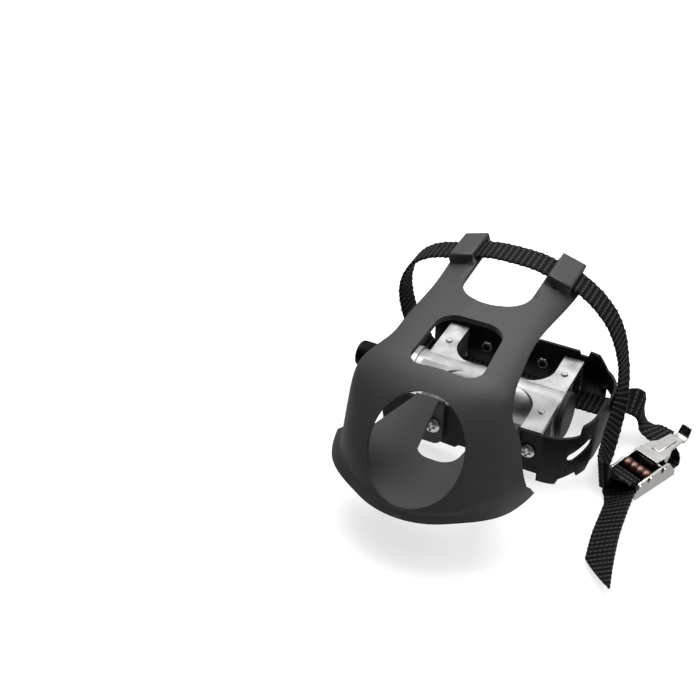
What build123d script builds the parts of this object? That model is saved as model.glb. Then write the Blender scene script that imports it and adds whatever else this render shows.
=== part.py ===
"""Left-hand bicycle pedal with a moulded toe clip, a woven strap and a cam buckle.

Millimetres. +Z is up out of the platform, -Y is the way the toe points and +X runs
outwards along the spindle. The origin is on the spindle axis, at the shoulder that
meets the crank arm, where the thread begins.
"""

from build123d import *
import math
import os

os.makedirs("parts", exist_ok=True)

# Fits between pieces
RUNNING = 0.05
SEAT_GAP = 0.3
HOLE_GAP = 0.25

# Spindle, from the thread tip outwards
THREAD_R = 7.14
THREAD_LENGTH = 13.0
THREAD_CHAMFER = 1.0
FLATS_LENGTH = 14.0
FLATS_R = 9.2
FLATS_ACROSS = 15.0
FLATS_START = 1.5
SHOULDER_BEVEL = 1.2
NECK_R = 7.0
SHAFT_INNER_R = 6.0
SHAFT_TAPER = 5.0
SHAFT_OUTER_R = 4.8
STUB_R = 3.5

# Bearings
BALL_R = 1.5875
INNER_PITCH_R = 8.6
OUTER_PITCH_R = 6.4
INNER_BALLS = 15
OUTER_BALLS = 11
CUP_WALL = 0.8
CUP_LENGTH = 6.4
RACE_LIP = 0.45
LOCK_WASHER_T = 1.0
LOCK_NUT_T = 3.6
LOCK_NUT_ACROSS = 11.0

# Seal collar and dust cap
COLLAR_R = 12.4
COLLAR_T = 3.6
COLLAR_GAP = 0.6
CAP_R = 12.3
CAP_LENGTH = 3.2
CAP_ROUND = 1.4
CAP_WALL = 1.8
CAP_SPIGOT = 2.6
CAP_GRIP = 0.6

# Body
BODY_HALF_LENGTH = 37.0
ARM_REACH = 31.5
ARM_WIDTH = 10.5
BODY_TOP = 11.5
BARREL_WALL = 1.0125
BARREL_BORE_R = 7.6
BARREL_INNER_PROUD = 6.5
BARREL_OUTER_PROUD = 0.4
BOSS_STEP = 0.8
BOSS_LENGTH = 3.0
SCOOP_DEPTH = 28.0
SCOOP_ROUND = 14.0
PIP_R = 1.7
PIP_HEIGHT = 0.9
PIP_Y = 16.3
POCKET_DEPTH = 5.5
POCKET_WALL = 2.6

# Cage
CAGE_T = 1.5
CAGE_INNER_REACH = 9.0
CAGE_OUTER_REACH = 22.2
CAGE_CORNER_R = 20.7
FRONT_TOP = 11.2
REAR_TOP = 16.4
TOOTH = 3.4
FLOOR_Z = -17.5
SKIRT_Z = -13.0
OUTER_FRONT_TOP = 16.8
OUTER_REAR_TOP = 12.0
OUTER_WALL_BOTTOM = -8.0
CAGE_SLOT_LENGTH = 15.5
CAGE_SLOT_WIDTH = 5.0
CAGE_SLOT_Z = 1.7
CAGE_SLOT_TURN = 55.0
CAGE_SLOT_TILT = 30.0

# Cross-head screws
CAGE_SCREW_IN = 5.5
CAGE_SCREW_R = 2.0
CAGE_SCREW_LENGTH = 10.0
CAGE_HEAD_R = 3.9
CAGE_HEAD_H = 2.3
CLIP_SCREW_X = 17.5
CLIP_SCREW_R = 2.4
CLIP_HEAD_R = 4.4
CLIP_HEAD_H = 2.6
CLIP_NUT_ACROSS = 8.0
CLIP_NUT_T = 3.8
CLIP_WASHER_T = 1.0
CLIP_WASHER_R = 5.0
CLIP_SCREW_PROUD = 1.2
RECESS_WIDTH = 1.3

# Toe clip shell: at each height, the half-width to the crank side and to the outer
# side, and how far the nose reaches forward
CLIP_WALL = 2.6
NOSE_Y = -62.0
RIM_Z = 12.5
CROWN_Z = 66.0
CROWN_RISE = 4.0
CORE_R = 7.0
NOSE_LEVELS = [
    (RIM_Z, 51.5, 50.0, 58.6),
    (16.5, 47.8, 46.2, 56.0),
    (23.0, 46.8, 42.6, 52.0),
    (38.0, 46.0, 38.6, 41.0),
    (50.0, 43.6, 35.4, 30.8),
    (58.5, 35.2, 31.2, 21.5),
    (63.6, 20.0, 20.0, 12.8),
]

# Rear edges of the shell's sides, from the skirt's ear up and back along the eaves,
# as distances behind the nose's centre and above the rim
EAR_Y = -10.8
EAR_TOP = 1.9
OUTER_EDGE = [
    (-12.0, 3.4),
    (-8.2, 12.7),
    (-6.0, 23.5),
    (-8.0, 34.5),
    (-4.0, 42.2),
    (8.0, 46.3),
    (36.0, 48.9),
]
CRANK_EDGE = [
    (-12.0, 3.4),
    (-7.0, 12.7),
    (-3.0, 25.5),
    (-1.0, 38.0),
    (6.0, 45.4),
    (22.0, 48.1),
    (47.0, 50.1),
]
OUTER_EAVE_END = 51.0
CRANK_EAVE_END = 52.5
CLIP_REAR_Y = 32.0
NOSE_STATIONS = 12
WINDOW_FRONT_Y = -71.0
WINDOW_REAR_Y = -32.5
WINDOW_FRONT_HALF = 18.0
WINDOW_REAR_HALF = 16.2
WINDOW_ROUND = 8.0
GAP_BOTTOM_Y = -18.8
GAP_BOTTOM_HALF = 17.2
GAP_REAR_HALF = 17.6
GAP_ROUND = 16.5
NOSE_HOLE_HALF = 22.5
NOSE_HOLE_LOW = (-116.0, 21.0)
NOSE_HOLE_HIGH = (-82.0, 59.5)
CLIP_FLOOR_TOP = 15.5
CLIP_FLOOR_T = 2.5
TAB_INNER = 12.0
NOTCH_FRONT_HALF = 9.6
NOTCH_REAR_HALF = 15.0
TAB_GAP = 0.6
NOTCH_Y = -76.0
NOTCH_ROUND = 8.5
FLANGE_T = 3.0
FLANGE_BOTTOM = -12.0
FLANGE_ROUND = 5.0

# Strap loops at the ends of the prongs
LOOP_X = 24.4
LOOP_LENGTH = 12.9
LOOP_Y = 20.5
LOOP_WIDTH = 22.0
LOOP_SLOT_WIDTH = 16.6
LOOP_SLOT_H = 3.0
LOOP_ROOF = 2.4
LOOP_TILT = 17.0

# Strap
STRAP_WIDTH = 14.5
STRAP_T = 1.6
STRAP_CAGE_Z = -4.6
STRAP_SLOT_H = 4.8
STRAP_FOLD_R = 3.1
STRAP_TIP = 21.0
STRAP_TIP_BLUNT = 1.2

# Buckle, in its own frame: u towards the lever tip, v across, z up from the floor
BUCKLE_OUT = 24.8
BUCKLE_Y = -4.0
BUCKLE_TURN = 66.4
FRAME_FRONT = -18.5
FRAME_REAR = 10.0
FRAME_T = 1.0
FRAME_INNER_HALF = 8.0
FRAME_HEIGHT = 10.2
PIN_R = 1.25
BAR_U = -16.2
BAR_Z = 6.6
ROLLER_U = -8.6
ROLLER_Z = 7.3
ROLLER_R = 3.7
ROLLER_BANDS = 4
ROLLER_GROOVE = 0.5
LEVER_U = 1.5
LEVER_Z = 7.6
LEVER_HALF = 6.4
LEVER_T = 1.2
LEVER_TOP = 12.6
LEVER_LENGTH = 29.0
SPRING_WIRE_R = 0.4
SPRING_TURNS = 8

# Rear reflector
REFLECTOR_HALF = 20.0
REFLECTOR_LOW = -4.0
REFLECTOR_HIGH = 12.0
REFLECTOR_FRAME_T = 5.0
REFLECTOR_LIP = 2.4
REFLECTOR_BACK = 1.2
REFLECTOR_STUD_R = 1.5
REFLECTOR_STUD_X = 15.5
REFLECTOR_STUD_PROUD = 3.2
REFLECTOR_NUT_ACROSS = 5.5
REFLECTOR_NUT_T = 2.2
LENS_T = 2.2

# Worked-out sizes
INNER_CUP_R = INNER_PITCH_R + BALL_R + CUP_WALL
BARREL_R = INNER_CUP_R + BARREL_WALL
BOSS_R = BARREL_R + BOSS_STEP
OUTER_CUP_R = OUTER_PITCH_R + BALL_R + CUP_WALL
CAP_SEAT_R = OUTER_CUP_R + CAP_GRIP
COLLAR_START = FLATS_LENGTH + SEAT_GAP
BARREL_INNER_END = -BODY_HALF_LENGTH - BARREL_INNER_PROUD
BODY_X = COLLAR_START + COLLAR_T + COLLAR_GAP - BARREL_INNER_END
BARREL_OUTER_END = BODY_HALF_LENGTH + BARREL_OUTER_PROUD
CAGE_INNER_END = -BODY_HALF_LENGTH - CAGE_INNER_REACH
CAGE_OUTER_END = BODY_HALF_LENGTH + CAGE_OUTER_REACH
CAGE_SCREW_X = BODY_HALF_LENGTH - CAGE_SCREW_IN
TAB_OUTER = CAGE_SCREW_X - CAGE_HEAD_R - TAB_GAP
BUCKLE_X = CAGE_OUTER_END + BUCKLE_OUT
PIP_X = CAGE_SCREW_X
PLATE_IN = ARM_REACH
PLATE_OUT = ARM_REACH + CAGE_T
FLANGE_OUT = PLATE_OUT + FLANGE_T
INNER_BALL_X = BODY_X + BARREL_INNER_END + 7.4
OUTER_BALL_X = BODY_X + BARREL_OUTER_END - 10.5
CONE_HALF = CUP_LENGTH / 2 - 0.4
LOCK_WASHER_X = OUTER_BALL_X + CONE_HALF + 0.05
LOCK_NUT_X = LOCK_WASHER_X + LOCK_WASHER_T
SPINDLE_END = LOCK_NUT_X + LOCK_NUT_T + 0.8


def turned(points):
    """A solid of revolution about the spindle axis, from (x, radius) points."""
    return revolve(make_face(Polyline(*points, close=True)), Axis.X)


def ring(x0, x1, r_out, r_in):
    """A plain turned ring on the spindle axis."""
    return turned([(x0, r_in), (x1, r_in), (x1, r_out), (x0, r_out)])


def bore(x0, x1, r):
    """A round hole along the spindle axis, to be cut away."""
    return Pos((x0 + x1) / 2, 0, 0) * Rot(0, 90, 0) * Cylinder(r, x1 - x0)


def raceway(x, pitch_r):
    """The groove that the balls run in, to be cut from cups and cones."""
    return Pos(x, 0, 0) * Rot(0, 90, 0) * Torus(pitch_r, BALL_R + RUNNING)


def ball_ring(x, pitch_r, count):
    """A full ring of loose bearing balls."""
    balls = []
    for i in range(count):
        turn = 360.0 * i / count
        balls.append(Rot(turn, 0, 0) * Pos(x, 0, pitch_r) * Sphere(BALL_R))
    return Compound(children=balls)


def hex_nut(across, thickness, hole_r):
    """A hexagon nut standing on the XY plane."""
    blank = extrude(RegularPolygon(across / math.sqrt(3), 6), thickness)
    crown = Pos(0, 0, thickness / 2) * Cylinder(across / 2 * 1.1, thickness)
    return (blank & crown) - Pos(0, 0, thickness / 2) * Cylinder(hole_r, thickness * 2)


def cross_screw(head_r, head_h, shank_r, length):
    """A pan-head screw with a cross recess, its seat on the XY plane, head up."""
    edge = head_h * 0.45
    profile = make_face(
        Polyline((0, 0), (head_r, 0), (head_r, edge))
        + ThreePointArc((head_r, edge), (head_r * 0.62, head_h * 0.9), (0, head_h))
        + Line((0, head_h), (0, 0))
    )
    head = revolve(Plane.XZ * profile, Axis.Z)
    shank = Pos(0, 0, -length / 2) * Cylinder(shank_r, length)
    blade = Box(head_r * 1.25, RECESS_WIDTH, head_h)
    recess = Pos(0, 0, head_h * 1.05) * (blade + Rot(0, 0, 90) * blade)
    return head + shank - recess


def facing(side, solid):
    """Turn a screw so that its head points to the front (-1) or the rear (+1)."""
    return Rot(-90 * side, 0, 0) * solid


def group(solids):
    """Several separate like solids in one node."""
    flat = []
    for solid in solids:
        flat.extend(solid.solids())
    return Compound(children=flat)


# Spindle and bearings


def make_spindle():
    race = INNER_PITCH_R - RACE_LIP
    race_start = INNER_BALL_X - CUP_LENGTH / 2
    race_end = INNER_BALL_X + CUP_LENGTH / 2
    step = OUTER_BALL_X - CONE_HALF - SEAT_GAP
    points = [
        (-THREAD_LENGTH, 0),
        (-THREAD_LENGTH, THREAD_R - THREAD_CHAMFER),
        (-THREAD_LENGTH + THREAD_CHAMFER, THREAD_R),
        (0, THREAD_R),
        (0, FLATS_R - SHOULDER_BEVEL),
        (SHOULDER_BEVEL, FLATS_R),
        (FLATS_LENGTH, FLATS_R),
        (FLATS_LENGTH, NECK_R),
        (race_start, NECK_R),
        (race_start, race),
        (race_end, race),
        (race_end, NECK_R),
        (race_end + SHAFT_TAPER, SHAFT_INNER_R),
        (step, SHAFT_OUTER_R),
        (step, STUB_R),
        (SPINDLE_END, STUB_R),
        (SPINDLE_END, 0),
    ]
    body = turned(points)
    length = FLATS_LENGTH - FLATS_START
    flat = Box(length, FLATS_R * 2, FLATS_R)
    for side in (1, -1):
        drop = side * (FLATS_ACROSS / 2 + FLATS_R / 2)
        body -= Pos(FLATS_START + length / 2, 0, drop) * flat
    return body - raceway(INNER_BALL_X, INNER_PITCH_R)


def make_cup(x, pitch_r, cup_r):
    half = CUP_LENGTH / 2
    return ring(x - half, x + half, cup_r, pitch_r + RACE_LIP) - raceway(x, pitch_r)


def make_cone_nut():
    start = OUTER_BALL_X - CONE_HALF
    stop = OUTER_BALL_X + CONE_HALF
    nut = ring(start, stop, OUTER_PITCH_R - RACE_LIP, STUB_R + RUNNING / 2)
    return nut - raceway(OUTER_BALL_X, OUTER_PITCH_R)


def make_lock_washer():
    stop = LOCK_WASHER_X + LOCK_WASHER_T
    return ring(LOCK_WASHER_X, stop, OUTER_PITCH_R - RACE_LIP, STUB_R + RUNNING / 2)


def make_lock_nut():
    nut = hex_nut(LOCK_NUT_ACROSS, LOCK_NUT_T, STUB_R + RUNNING / 2)
    return Pos(LOCK_NUT_X, 0, 0) * Rot(0, 90, 0) * nut


def make_seal_collar():
    x0 = COLLAR_START
    x1 = x0 + COLLAR_T
    bore = NECK_R + RUNNING / 2
    points = [
        (x0, bore),
        (x1, bore),
        (x1, COLLAR_R),
        (x0 + 1.2, COLLAR_R),
        (x0, COLLAR_R - 1.4),
    ]
    return turned(points)


def make_dust_cap():
    x0 = BODY_X + BARREL_OUTER_END
    x1 = x0 + CAP_LENGTH
    spigot = CAP_SEAT_R
    inside = spigot - CAP_WALL
    corner = CAP_R - CAP_ROUND
    middle = CAP_ROUND * math.sqrt(0.5)
    outer = (
        Line((x0 - CAP_SPIGOT, inside), (x0 - CAP_SPIGOT, spigot))
        + Line((x0 - CAP_SPIGOT, spigot), (x0, spigot))
        + Line((x0, spigot), (x0, CAP_R))
        + Line((x0, CAP_R), (x1 - CAP_ROUND, CAP_R))
        + ThreePointArc(
            (x1 - CAP_ROUND, CAP_R),
            (x1 - CAP_ROUND + middle, corner + middle),
            (x1, corner),
        )
        + Line((x1, corner), (x1, 0))
        + Line((x1, 0), (x1 - CAP_WALL, 0))
        + Line((x1 - CAP_WALL, 0), (x1 - CAP_WALL, inside))
        + Line((x1 - CAP_WALL, inside), (x0 - CAP_SPIGOT, inside))
    )
    return revolve(make_face(outer), Axis.X)


# Pedal body


def make_scoop(side):
    """The rounded bay between the two front (-1) or two rear (+1) arms."""
    half = BODY_HALF_LENGTH - ARM_WIDTH
    bay = RectangleRounded(half * 2, SCOOP_DEPTH * 2, SCOOP_ROUND)
    return extrude(Pos(BODY_X, side * ARM_REACH, 0) * bay, BODY_TOP * 2, both=True)


def make_pocket(end, side):
    """A cored recess in the end face of one arm."""
    length = ARM_REACH - BARREL_R - POCKET_WALL * 2
    height = (BODY_TOP - POCKET_WALL) * 2
    core = Box(POCKET_DEPTH * 2, length, height)
    core = fillet(core.edges().filter_by(Axis.X), 2.0)
    y = side * (BARREL_R + POCKET_WALL + length / 2)
    return Pos(BODY_X + end * BODY_HALF_LENGTH, y, 0) * core


def make_body():
    plate = Box(BODY_HALF_LENGTH * 2, ARM_REACH * 2, BODY_TOP * 2)
    body = Pos(BODY_X, 0, 0) * plate
    for side in (-1, 1):
        body -= make_scoop(side)
    for end in (-1, 1):
        for side in (-1, 1):
            body -= make_pocket(end, side)
    slot = Box(BODY_HALF_LENGTH * 3, STRAP_WIDTH + 2.0, STRAP_SLOT_H)
    body -= Pos(BODY_X, LOOP_Y, STRAP_CAGE_Z) * slot
    start = BODY_X + BARREL_INNER_END
    stop = BODY_X + BARREL_OUTER_END
    body += ring(start, stop, BARREL_R, BARREL_BORE_R)
    body += ring(start, start + BOSS_LENGTH, BOSS_R, BARREL_BORE_R)
    body -= bore(start - 1, stop + 1, BARREL_BORE_R)
    inner_end = INNER_BALL_X + CUP_LENGTH / 2
    outer_start = OUTER_BALL_X - CUP_LENGTH / 2
    body -= bore(start - 1, inner_end, INNER_CUP_R)
    body -= bore(outer_start, stop + 1, OUTER_CUP_R)
    body -= bore(stop - CAP_SPIGOT - SEAT_GAP, stop + 1, CAP_SEAT_R + RUNNING / 2)
    for x in (-PIP_X, PIP_X):
        for y in (-PIP_Y, PIP_Y):
            pip = Pos(BODY_X + x, y, BODY_TOP) * Cylinder(PIP_R, PIP_HEIGHT * 2)
            body += fillet(pip.edges().group_by(Axis.Z)[-1], PIP_HEIGHT * 0.6)
        for side in (-1, 1):
            depth = CAGE_SCREW_LENGTH
            hole = facing(side, Cylinder(CAGE_SCREW_R + RUNNING / 2, depth))
            body -= Pos(BODY_X + x, side * (ARM_REACH - depth / 2 + 1), 0) * hole
    return body


# Cage


def band_outline(inset, extra):
    """Plan of the cage band, open towards the spindle, moved in by an inset."""
    x0 = BODY_X + CAGE_INNER_END - extra
    x1 = BODY_X + CAGE_OUTER_END - inset
    y1 = PLATE_OUT - inset
    r = CAGE_CORNER_R - inset
    k = r * (1 - math.sqrt(0.5))
    return make_face(
        Line((x0, -y1), (x1 - r, -y1))
        + ThreePointArc((x1 - r, -y1), (x1 - k, -y1 + k), (x1, -y1 + r))
        + Line((x1, -y1 + r), (x1, y1 - r))
        + ThreePointArc((x1, y1 - r), (x1 - k, y1 - k), (x1 - r, y1))
        + Line((x1 - r, y1), (x0, y1))
        + Line((x0, y1), (x0, -y1))
    )


def cage_bottom():
    """Lower edge of a side plate, from the outer end to the horn at the inner end."""
    return [
        (CAGE_OUTER_END + 2, OUTER_WALL_BOTTOM),
        (CAGE_OUTER_END - 0.8, OUTER_WALL_BOTTOM),
        (CAGE_OUTER_END - 1.8, SKIRT_Z + 0.8),
        (CAGE_OUTER_END - 4.6, SKIRT_Z - 0.6),
        (CAGE_OUTER_END - 5.4, SKIRT_Z + 2.2),
        (CAGE_OUTER_END - 11.6, SKIRT_Z - 1.2),
        (CAGE_OUTER_END - 13, FLOOR_Z),
        (CAGE_SCREW_X + 5.5, FLOOR_Z),
        (CAGE_SCREW_X + 5.5, SKIRT_Z),
        (6, SKIRT_Z),
        (4, SKIRT_Z + 2),
        (-4, SKIRT_Z + 2),
        (-6, SKIRT_Z),
        (-CAGE_SCREW_X + 1, SKIRT_Z + 1.5),
        (-CAGE_SCREW_X - 5, SKIRT_Z - 0.6),
        (CAGE_INNER_END + 4.6, FLOOR_Z + 0.9),
        (CAGE_INNER_END + 2.6, FLOOR_Z),
        (CAGE_INNER_END + 1.2, FLOOR_Z + 2),
        (CAGE_INNER_END, -4),
    ]


def front_edge():
    """Upper edge of the front plate, from the inner end outwards."""
    return [
        (CAGE_INNER_END, FRONT_TOP - 2),
        (CAGE_INNER_END + 2, FRONT_TOP),
        (CAGE_OUTER_END - 5.0, FRONT_TOP),
        (CAGE_OUTER_END - 4.5, OUTER_FRONT_TOP),
        (CAGE_OUTER_END + 2, OUTER_FRONT_TOP),
    ]


def rear_edge():
    """Upper edge of the rear plate, with its teeth, from the inner end outwards."""
    crest = REAR_TOP + 1.2
    low = crest - TOOTH
    return [
        (CAGE_INNER_END, low - 4),
        (CAGE_INNER_END + 2.5, crest),
        (CAGE_INNER_END + 9, crest),
        (CAGE_INNER_END + 9.8, low),
        (CAGE_INNER_END + 14, low),
        (CAGE_INNER_END + 14.8, REAR_TOP),
        (-12, REAR_TOP),
        (-11.3, low),
        (-7.2, low),
        (-6.5, REAR_TOP),
        (6.5, REAR_TOP),
        (7.2, low),
        (11.3, low),
        (12, REAR_TOP),
        (CAGE_SCREW_X + 2, REAR_TOP),
        (CAGE_SCREW_X + 2.8, low),
        (CAGE_SCREW_X + 6.8, low),
        (CAGE_SCREW_X + 7.6, crest),
        (CAGE_SCREW_X + 13, crest),
        (CAGE_OUTER_END - 9, OUTER_REAR_TOP),
        (CAGE_OUTER_END + 2, OUTER_REAR_TOP),
    ]


def side_profile(upper):
    """The face of a side plate in elevation, between its upper and lower edges."""
    points = []
    for x, z in upper + cage_bottom():
        points.append((BODY_X + x, z))
    return Plane.XZ * make_face(Polyline(*points, close=True))


def make_cage():
    band = band_outline(0, 0) - band_outline(CAGE_T, 5)
    low = FLOOR_Z - 1
    high = REAR_TOP + TOOTH + 2
    band = extrude(Pos(0, 0, low) * band, high - low)
    front = band & extrude(side_profile(front_edge()), 60)
    rear = band & extrude(side_profile(rear_edge()), -60)
    cage = front + rear
    for x in (-CAGE_SCREW_X, CAGE_SCREW_X):
        hole = Rot(90, 0, 0) * Cylinder(CAGE_SCREW_R + HOLE_GAP, 200)
        cage -= Pos(BODY_X + x, 0, 0) * hole
    for x in (-CLIP_SCREW_X, CLIP_SCREW_X):
        hole = Rot(90, 0, 0) * Cylinder(CLIP_SCREW_R + HOLE_GAP, 10)
        cage -= Pos(BODY_X + x, -PLATE_OUT, 0) * hole
    for x in (-REFLECTOR_STUD_X, REFLECTOR_STUD_X):
        hole = Rot(90, 0, 0) * Cylinder(REFLECTOR_STUD_R + HOLE_GAP, 10)
        cage -= Pos(BODY_X + x, PLATE_OUT, reflector_middle()) * hole
    slot = Box(30, STRAP_WIDTH + 2.4, STRAP_T + 8)
    slot = fillet(slot.edges().filter_by(Axis.X), 2.0)
    cage -= Pos(BODY_X + CAGE_OUTER_END, LOOP_Y, STRAP_CAGE_Z + 1.6) * slot
    oblong = Rot(0, 0, CAGE_SLOT_TILT) * SlotOverall(CAGE_SLOT_LENGTH, CAGE_SLOT_WIDTH)
    oblong = Rot(0, 0, CAGE_SLOT_TURN) * Rot(90, 0, 0) * extrude(oblong, 8, both=True)
    turn = math.radians(CAGE_SLOT_TURN)
    slot_x = CAGE_OUTER_END - CAGE_CORNER_R * (1 - math.sin(turn))
    slot_y = -PLATE_OUT + CAGE_CORNER_R * (1 - math.cos(turn))
    cage -= Pos(BODY_X + slot_x, slot_y, CAGE_SLOT_Z) * oblong
    return cage


# Screws, nuts and washers


def make_cage_screws():
    screw = cross_screw(CAGE_HEAD_R, CAGE_HEAD_H, CAGE_SCREW_R, CAGE_SCREW_LENGTH)
    screws = []
    for x in (-CAGE_SCREW_X, CAGE_SCREW_X):
        for side in (-1, 1):
            screws.append(Pos(BODY_X + x, side * PLATE_OUT, 0) * facing(side, screw))
    return group(screws)


def clip_pair(make):
    """Two like pieces, one at each fixing of the toe clip."""
    return group([Pos(BODY_X + x, 0, 0) * make for x in (-CLIP_SCREW_X, CLIP_SCREW_X)])


def make_clip_screws():
    length = FLANGE_T + CAGE_T + CLIP_WASHER_T + CLIP_NUT_T + CLIP_SCREW_PROUD
    screw = cross_screw(CLIP_HEAD_R, CLIP_HEAD_H, CLIP_SCREW_R, length)
    return clip_pair(Pos(0, -FLANGE_OUT, 0) * facing(-1, screw))


def make_clip_washers():
    washer = Pos(0, 0, -CLIP_WASHER_T / 2) * (
        Cylinder(CLIP_WASHER_R, CLIP_WASHER_T)
        - Cylinder(CLIP_SCREW_R + RUNNING, CLIP_WASHER_T * 2)
    )
    return clip_pair(Pos(0, -PLATE_IN, 0) * facing(-1, washer))


def make_clip_nuts():
    nut = hex_nut(CLIP_NUT_ACROSS, CLIP_NUT_T, CLIP_SCREW_R + RUNNING)
    nut = Pos(0, 0, -CLIP_WASHER_T - CLIP_NUT_T) * nut
    return clip_pair(Pos(0, -PLATE_IN, 0) * facing(-1, nut))


# Toe clip


def nose_radius(half, depth, angle):
    """Plan distance from the nose's centre to an ellipse, at an angle from straight ahead."""
    return 1 / math.hypot(math.sin(angle) / half, math.cos(angle) / depth)


def nose_profile(angle):
    """Outer (distance, height) points of the shell from rim to crown, at an angle."""
    points = []
    for z, crank_half, outer_half, depth in NOSE_LEVELS:
        half = crank_half if angle < 0 else outer_half
        points.append((nose_radius(half, depth, angle), z))
    points.append((CORE_R, CROWN_Z - 0.35))
    return points


def inset_points(points, wall):
    """The same run of points moved inwards by the wall, square to the run."""
    moved = []
    last = len(points) - 1
    for i, (r, z) in enumerate(points):
        before = points[max(i - 1, 0)]
        after = points[min(i + 1, last)]
        dr = after[0] - before[0]
        dz = after[1] - before[1]
        size = math.hypot(dr, dz)
        moved.append((r - dz / size * wall, z + dr / size * wall))
    return moved


def wall_section(angle):
    """Closed section of the nose wall in the upright plane at an angle."""
    outer = nose_profile(angle)
    inner = inset_points(outer, CLIP_WALL)
    plane = Plane(
        origin=(BODY_X, NOSE_Y, 0),
        x_dir=(math.sin(angle), -math.cos(angle), 0),
        z_dir=(-math.cos(angle), -math.sin(angle), 0),
    )
    wire = Wire(
        (
            Spline(*outer)
            + Line(outer[-1], inner[-1])
            + Spline(*reversed(inner))
            + Line(inner[0], outer[0])
        ).edges()
    )
    return plane * wire


def make_nose():
    sections = []
    for i in range(NOSE_STATIONS + 1):
        angle = math.pi * (i / NOSE_STATIONS - 0.5)
        sections.append(wall_section(angle))
    return Solid.make_loft(sections)


def make_roof():
    """The arch behind the nose, rising a little to the rear."""
    run = Vector(0, CLIP_REAR_Y - NOSE_Y, CROWN_RISE)
    outer = nose_profile(math.pi / 2)
    inner = inset_points(outer, CLIP_WALL)
    top_r, top_z = outer[-1]
    low_r, low_z = inner[-1]
    points = [(-top_r, top_z), (top_r, top_z), (low_r, low_z), (-low_r, low_z)]
    plane = Plane(origin=(BODY_X, NOSE_Y, 0), x_dir=(1, 0, 0), z_dir=(0, -1, 0))
    middle = plane * make_face(Polyline(*points, close=True))
    roof = Solid.extrude(middle.face(), run)
    for angle in (-math.pi / 2, math.pi / 2):
        roof += Solid.extrude(Face(wall_section(angle)), run)
    return roof


def roof_height(x, y):
    """Height of the roof's outer face over a place behind the nose."""
    rise = CROWN_RISE * (y - NOSE_Y) / (CLIP_REAR_Y - NOSE_Y)
    top, half = NOSE_LEVELS[-1][:2]
    return CROWN_Z + rise - (CROWN_Z - top) * (x / half) ** 2


def side_cut(side, edge, eave_end):
    """What is taken away behind the skirt and below the roof, on one side."""
    points = [(NOSE_Y + y, RIM_Z + z) for y, z in edge]
    end = (CLIP_REAR_Y + 20, RIM_Z + eave_end)
    ear = NOSE_Y + EAR_Y
    below = RIM_Z - 8
    path = (
        Spline(*points, end)
        + Line(end, (end[0], below))
        + Line((end[0], below), (ear, below))
        + Line((ear, below), (ear, RIM_Z + EAR_TOP))
        + Line((ear, RIM_Z + EAR_TOP), points[0])
    )
    return extrude(Plane.YZ.offset(BODY_X) * make_face(path), side * BODY_X * 4)


def window_cut():
    points = [
        (-WINDOW_FRONT_HALF, WINDOW_FRONT_Y),
        (WINDOW_FRONT_HALF, WINDOW_FRONT_Y),
        (WINDOW_REAR_HALF, WINDOW_REAR_Y),
        (-WINDOW_REAR_HALF, WINDOW_REAR_Y),
    ]
    face = make_face(Polyline(*points, close=True))
    face = fillet(face.vertices(), WINDOW_ROUND)
    return extrude(Pos(BODY_X, 0, CROWN_Z - 25) * face, 60)


def gap_cut():
    """The bay between the two prongs, open to the rear."""
    points = [
        (-GAP_BOTTOM_HALF, GAP_BOTTOM_Y),
        (GAP_BOTTOM_HALF, GAP_BOTTOM_Y),
        (GAP_REAR_HALF, CLIP_REAR_Y + 5),
        (-GAP_REAR_HALF, CLIP_REAR_Y + 5),
    ]
    face = make_face(Polyline(*points, close=True))
    face = fillet([v for v in face.vertices() if v.Y < 0], GAP_ROUND)
    return extrude(Pos(BODY_X, 0, CROWN_Z - 25) * face, 60)


def nose_hole_cut():
    low = Vector(BODY_X, *NOSE_HOLE_LOW)
    high = Vector(BODY_X, *NOSE_HOLE_HIGH)
    along = (high - low).normalized()
    out = Vector(0, -along.Z, along.Y)
    plane = Plane(origin=(low + high) / 2, x_dir=(1, 0, 0), z_dir=out)
    oval = Ellipse(NOSE_HOLE_HALF, (high - low).length / 2)
    return extrude(plane * oval, 40) + extrude(plane * oval, -14)


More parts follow.
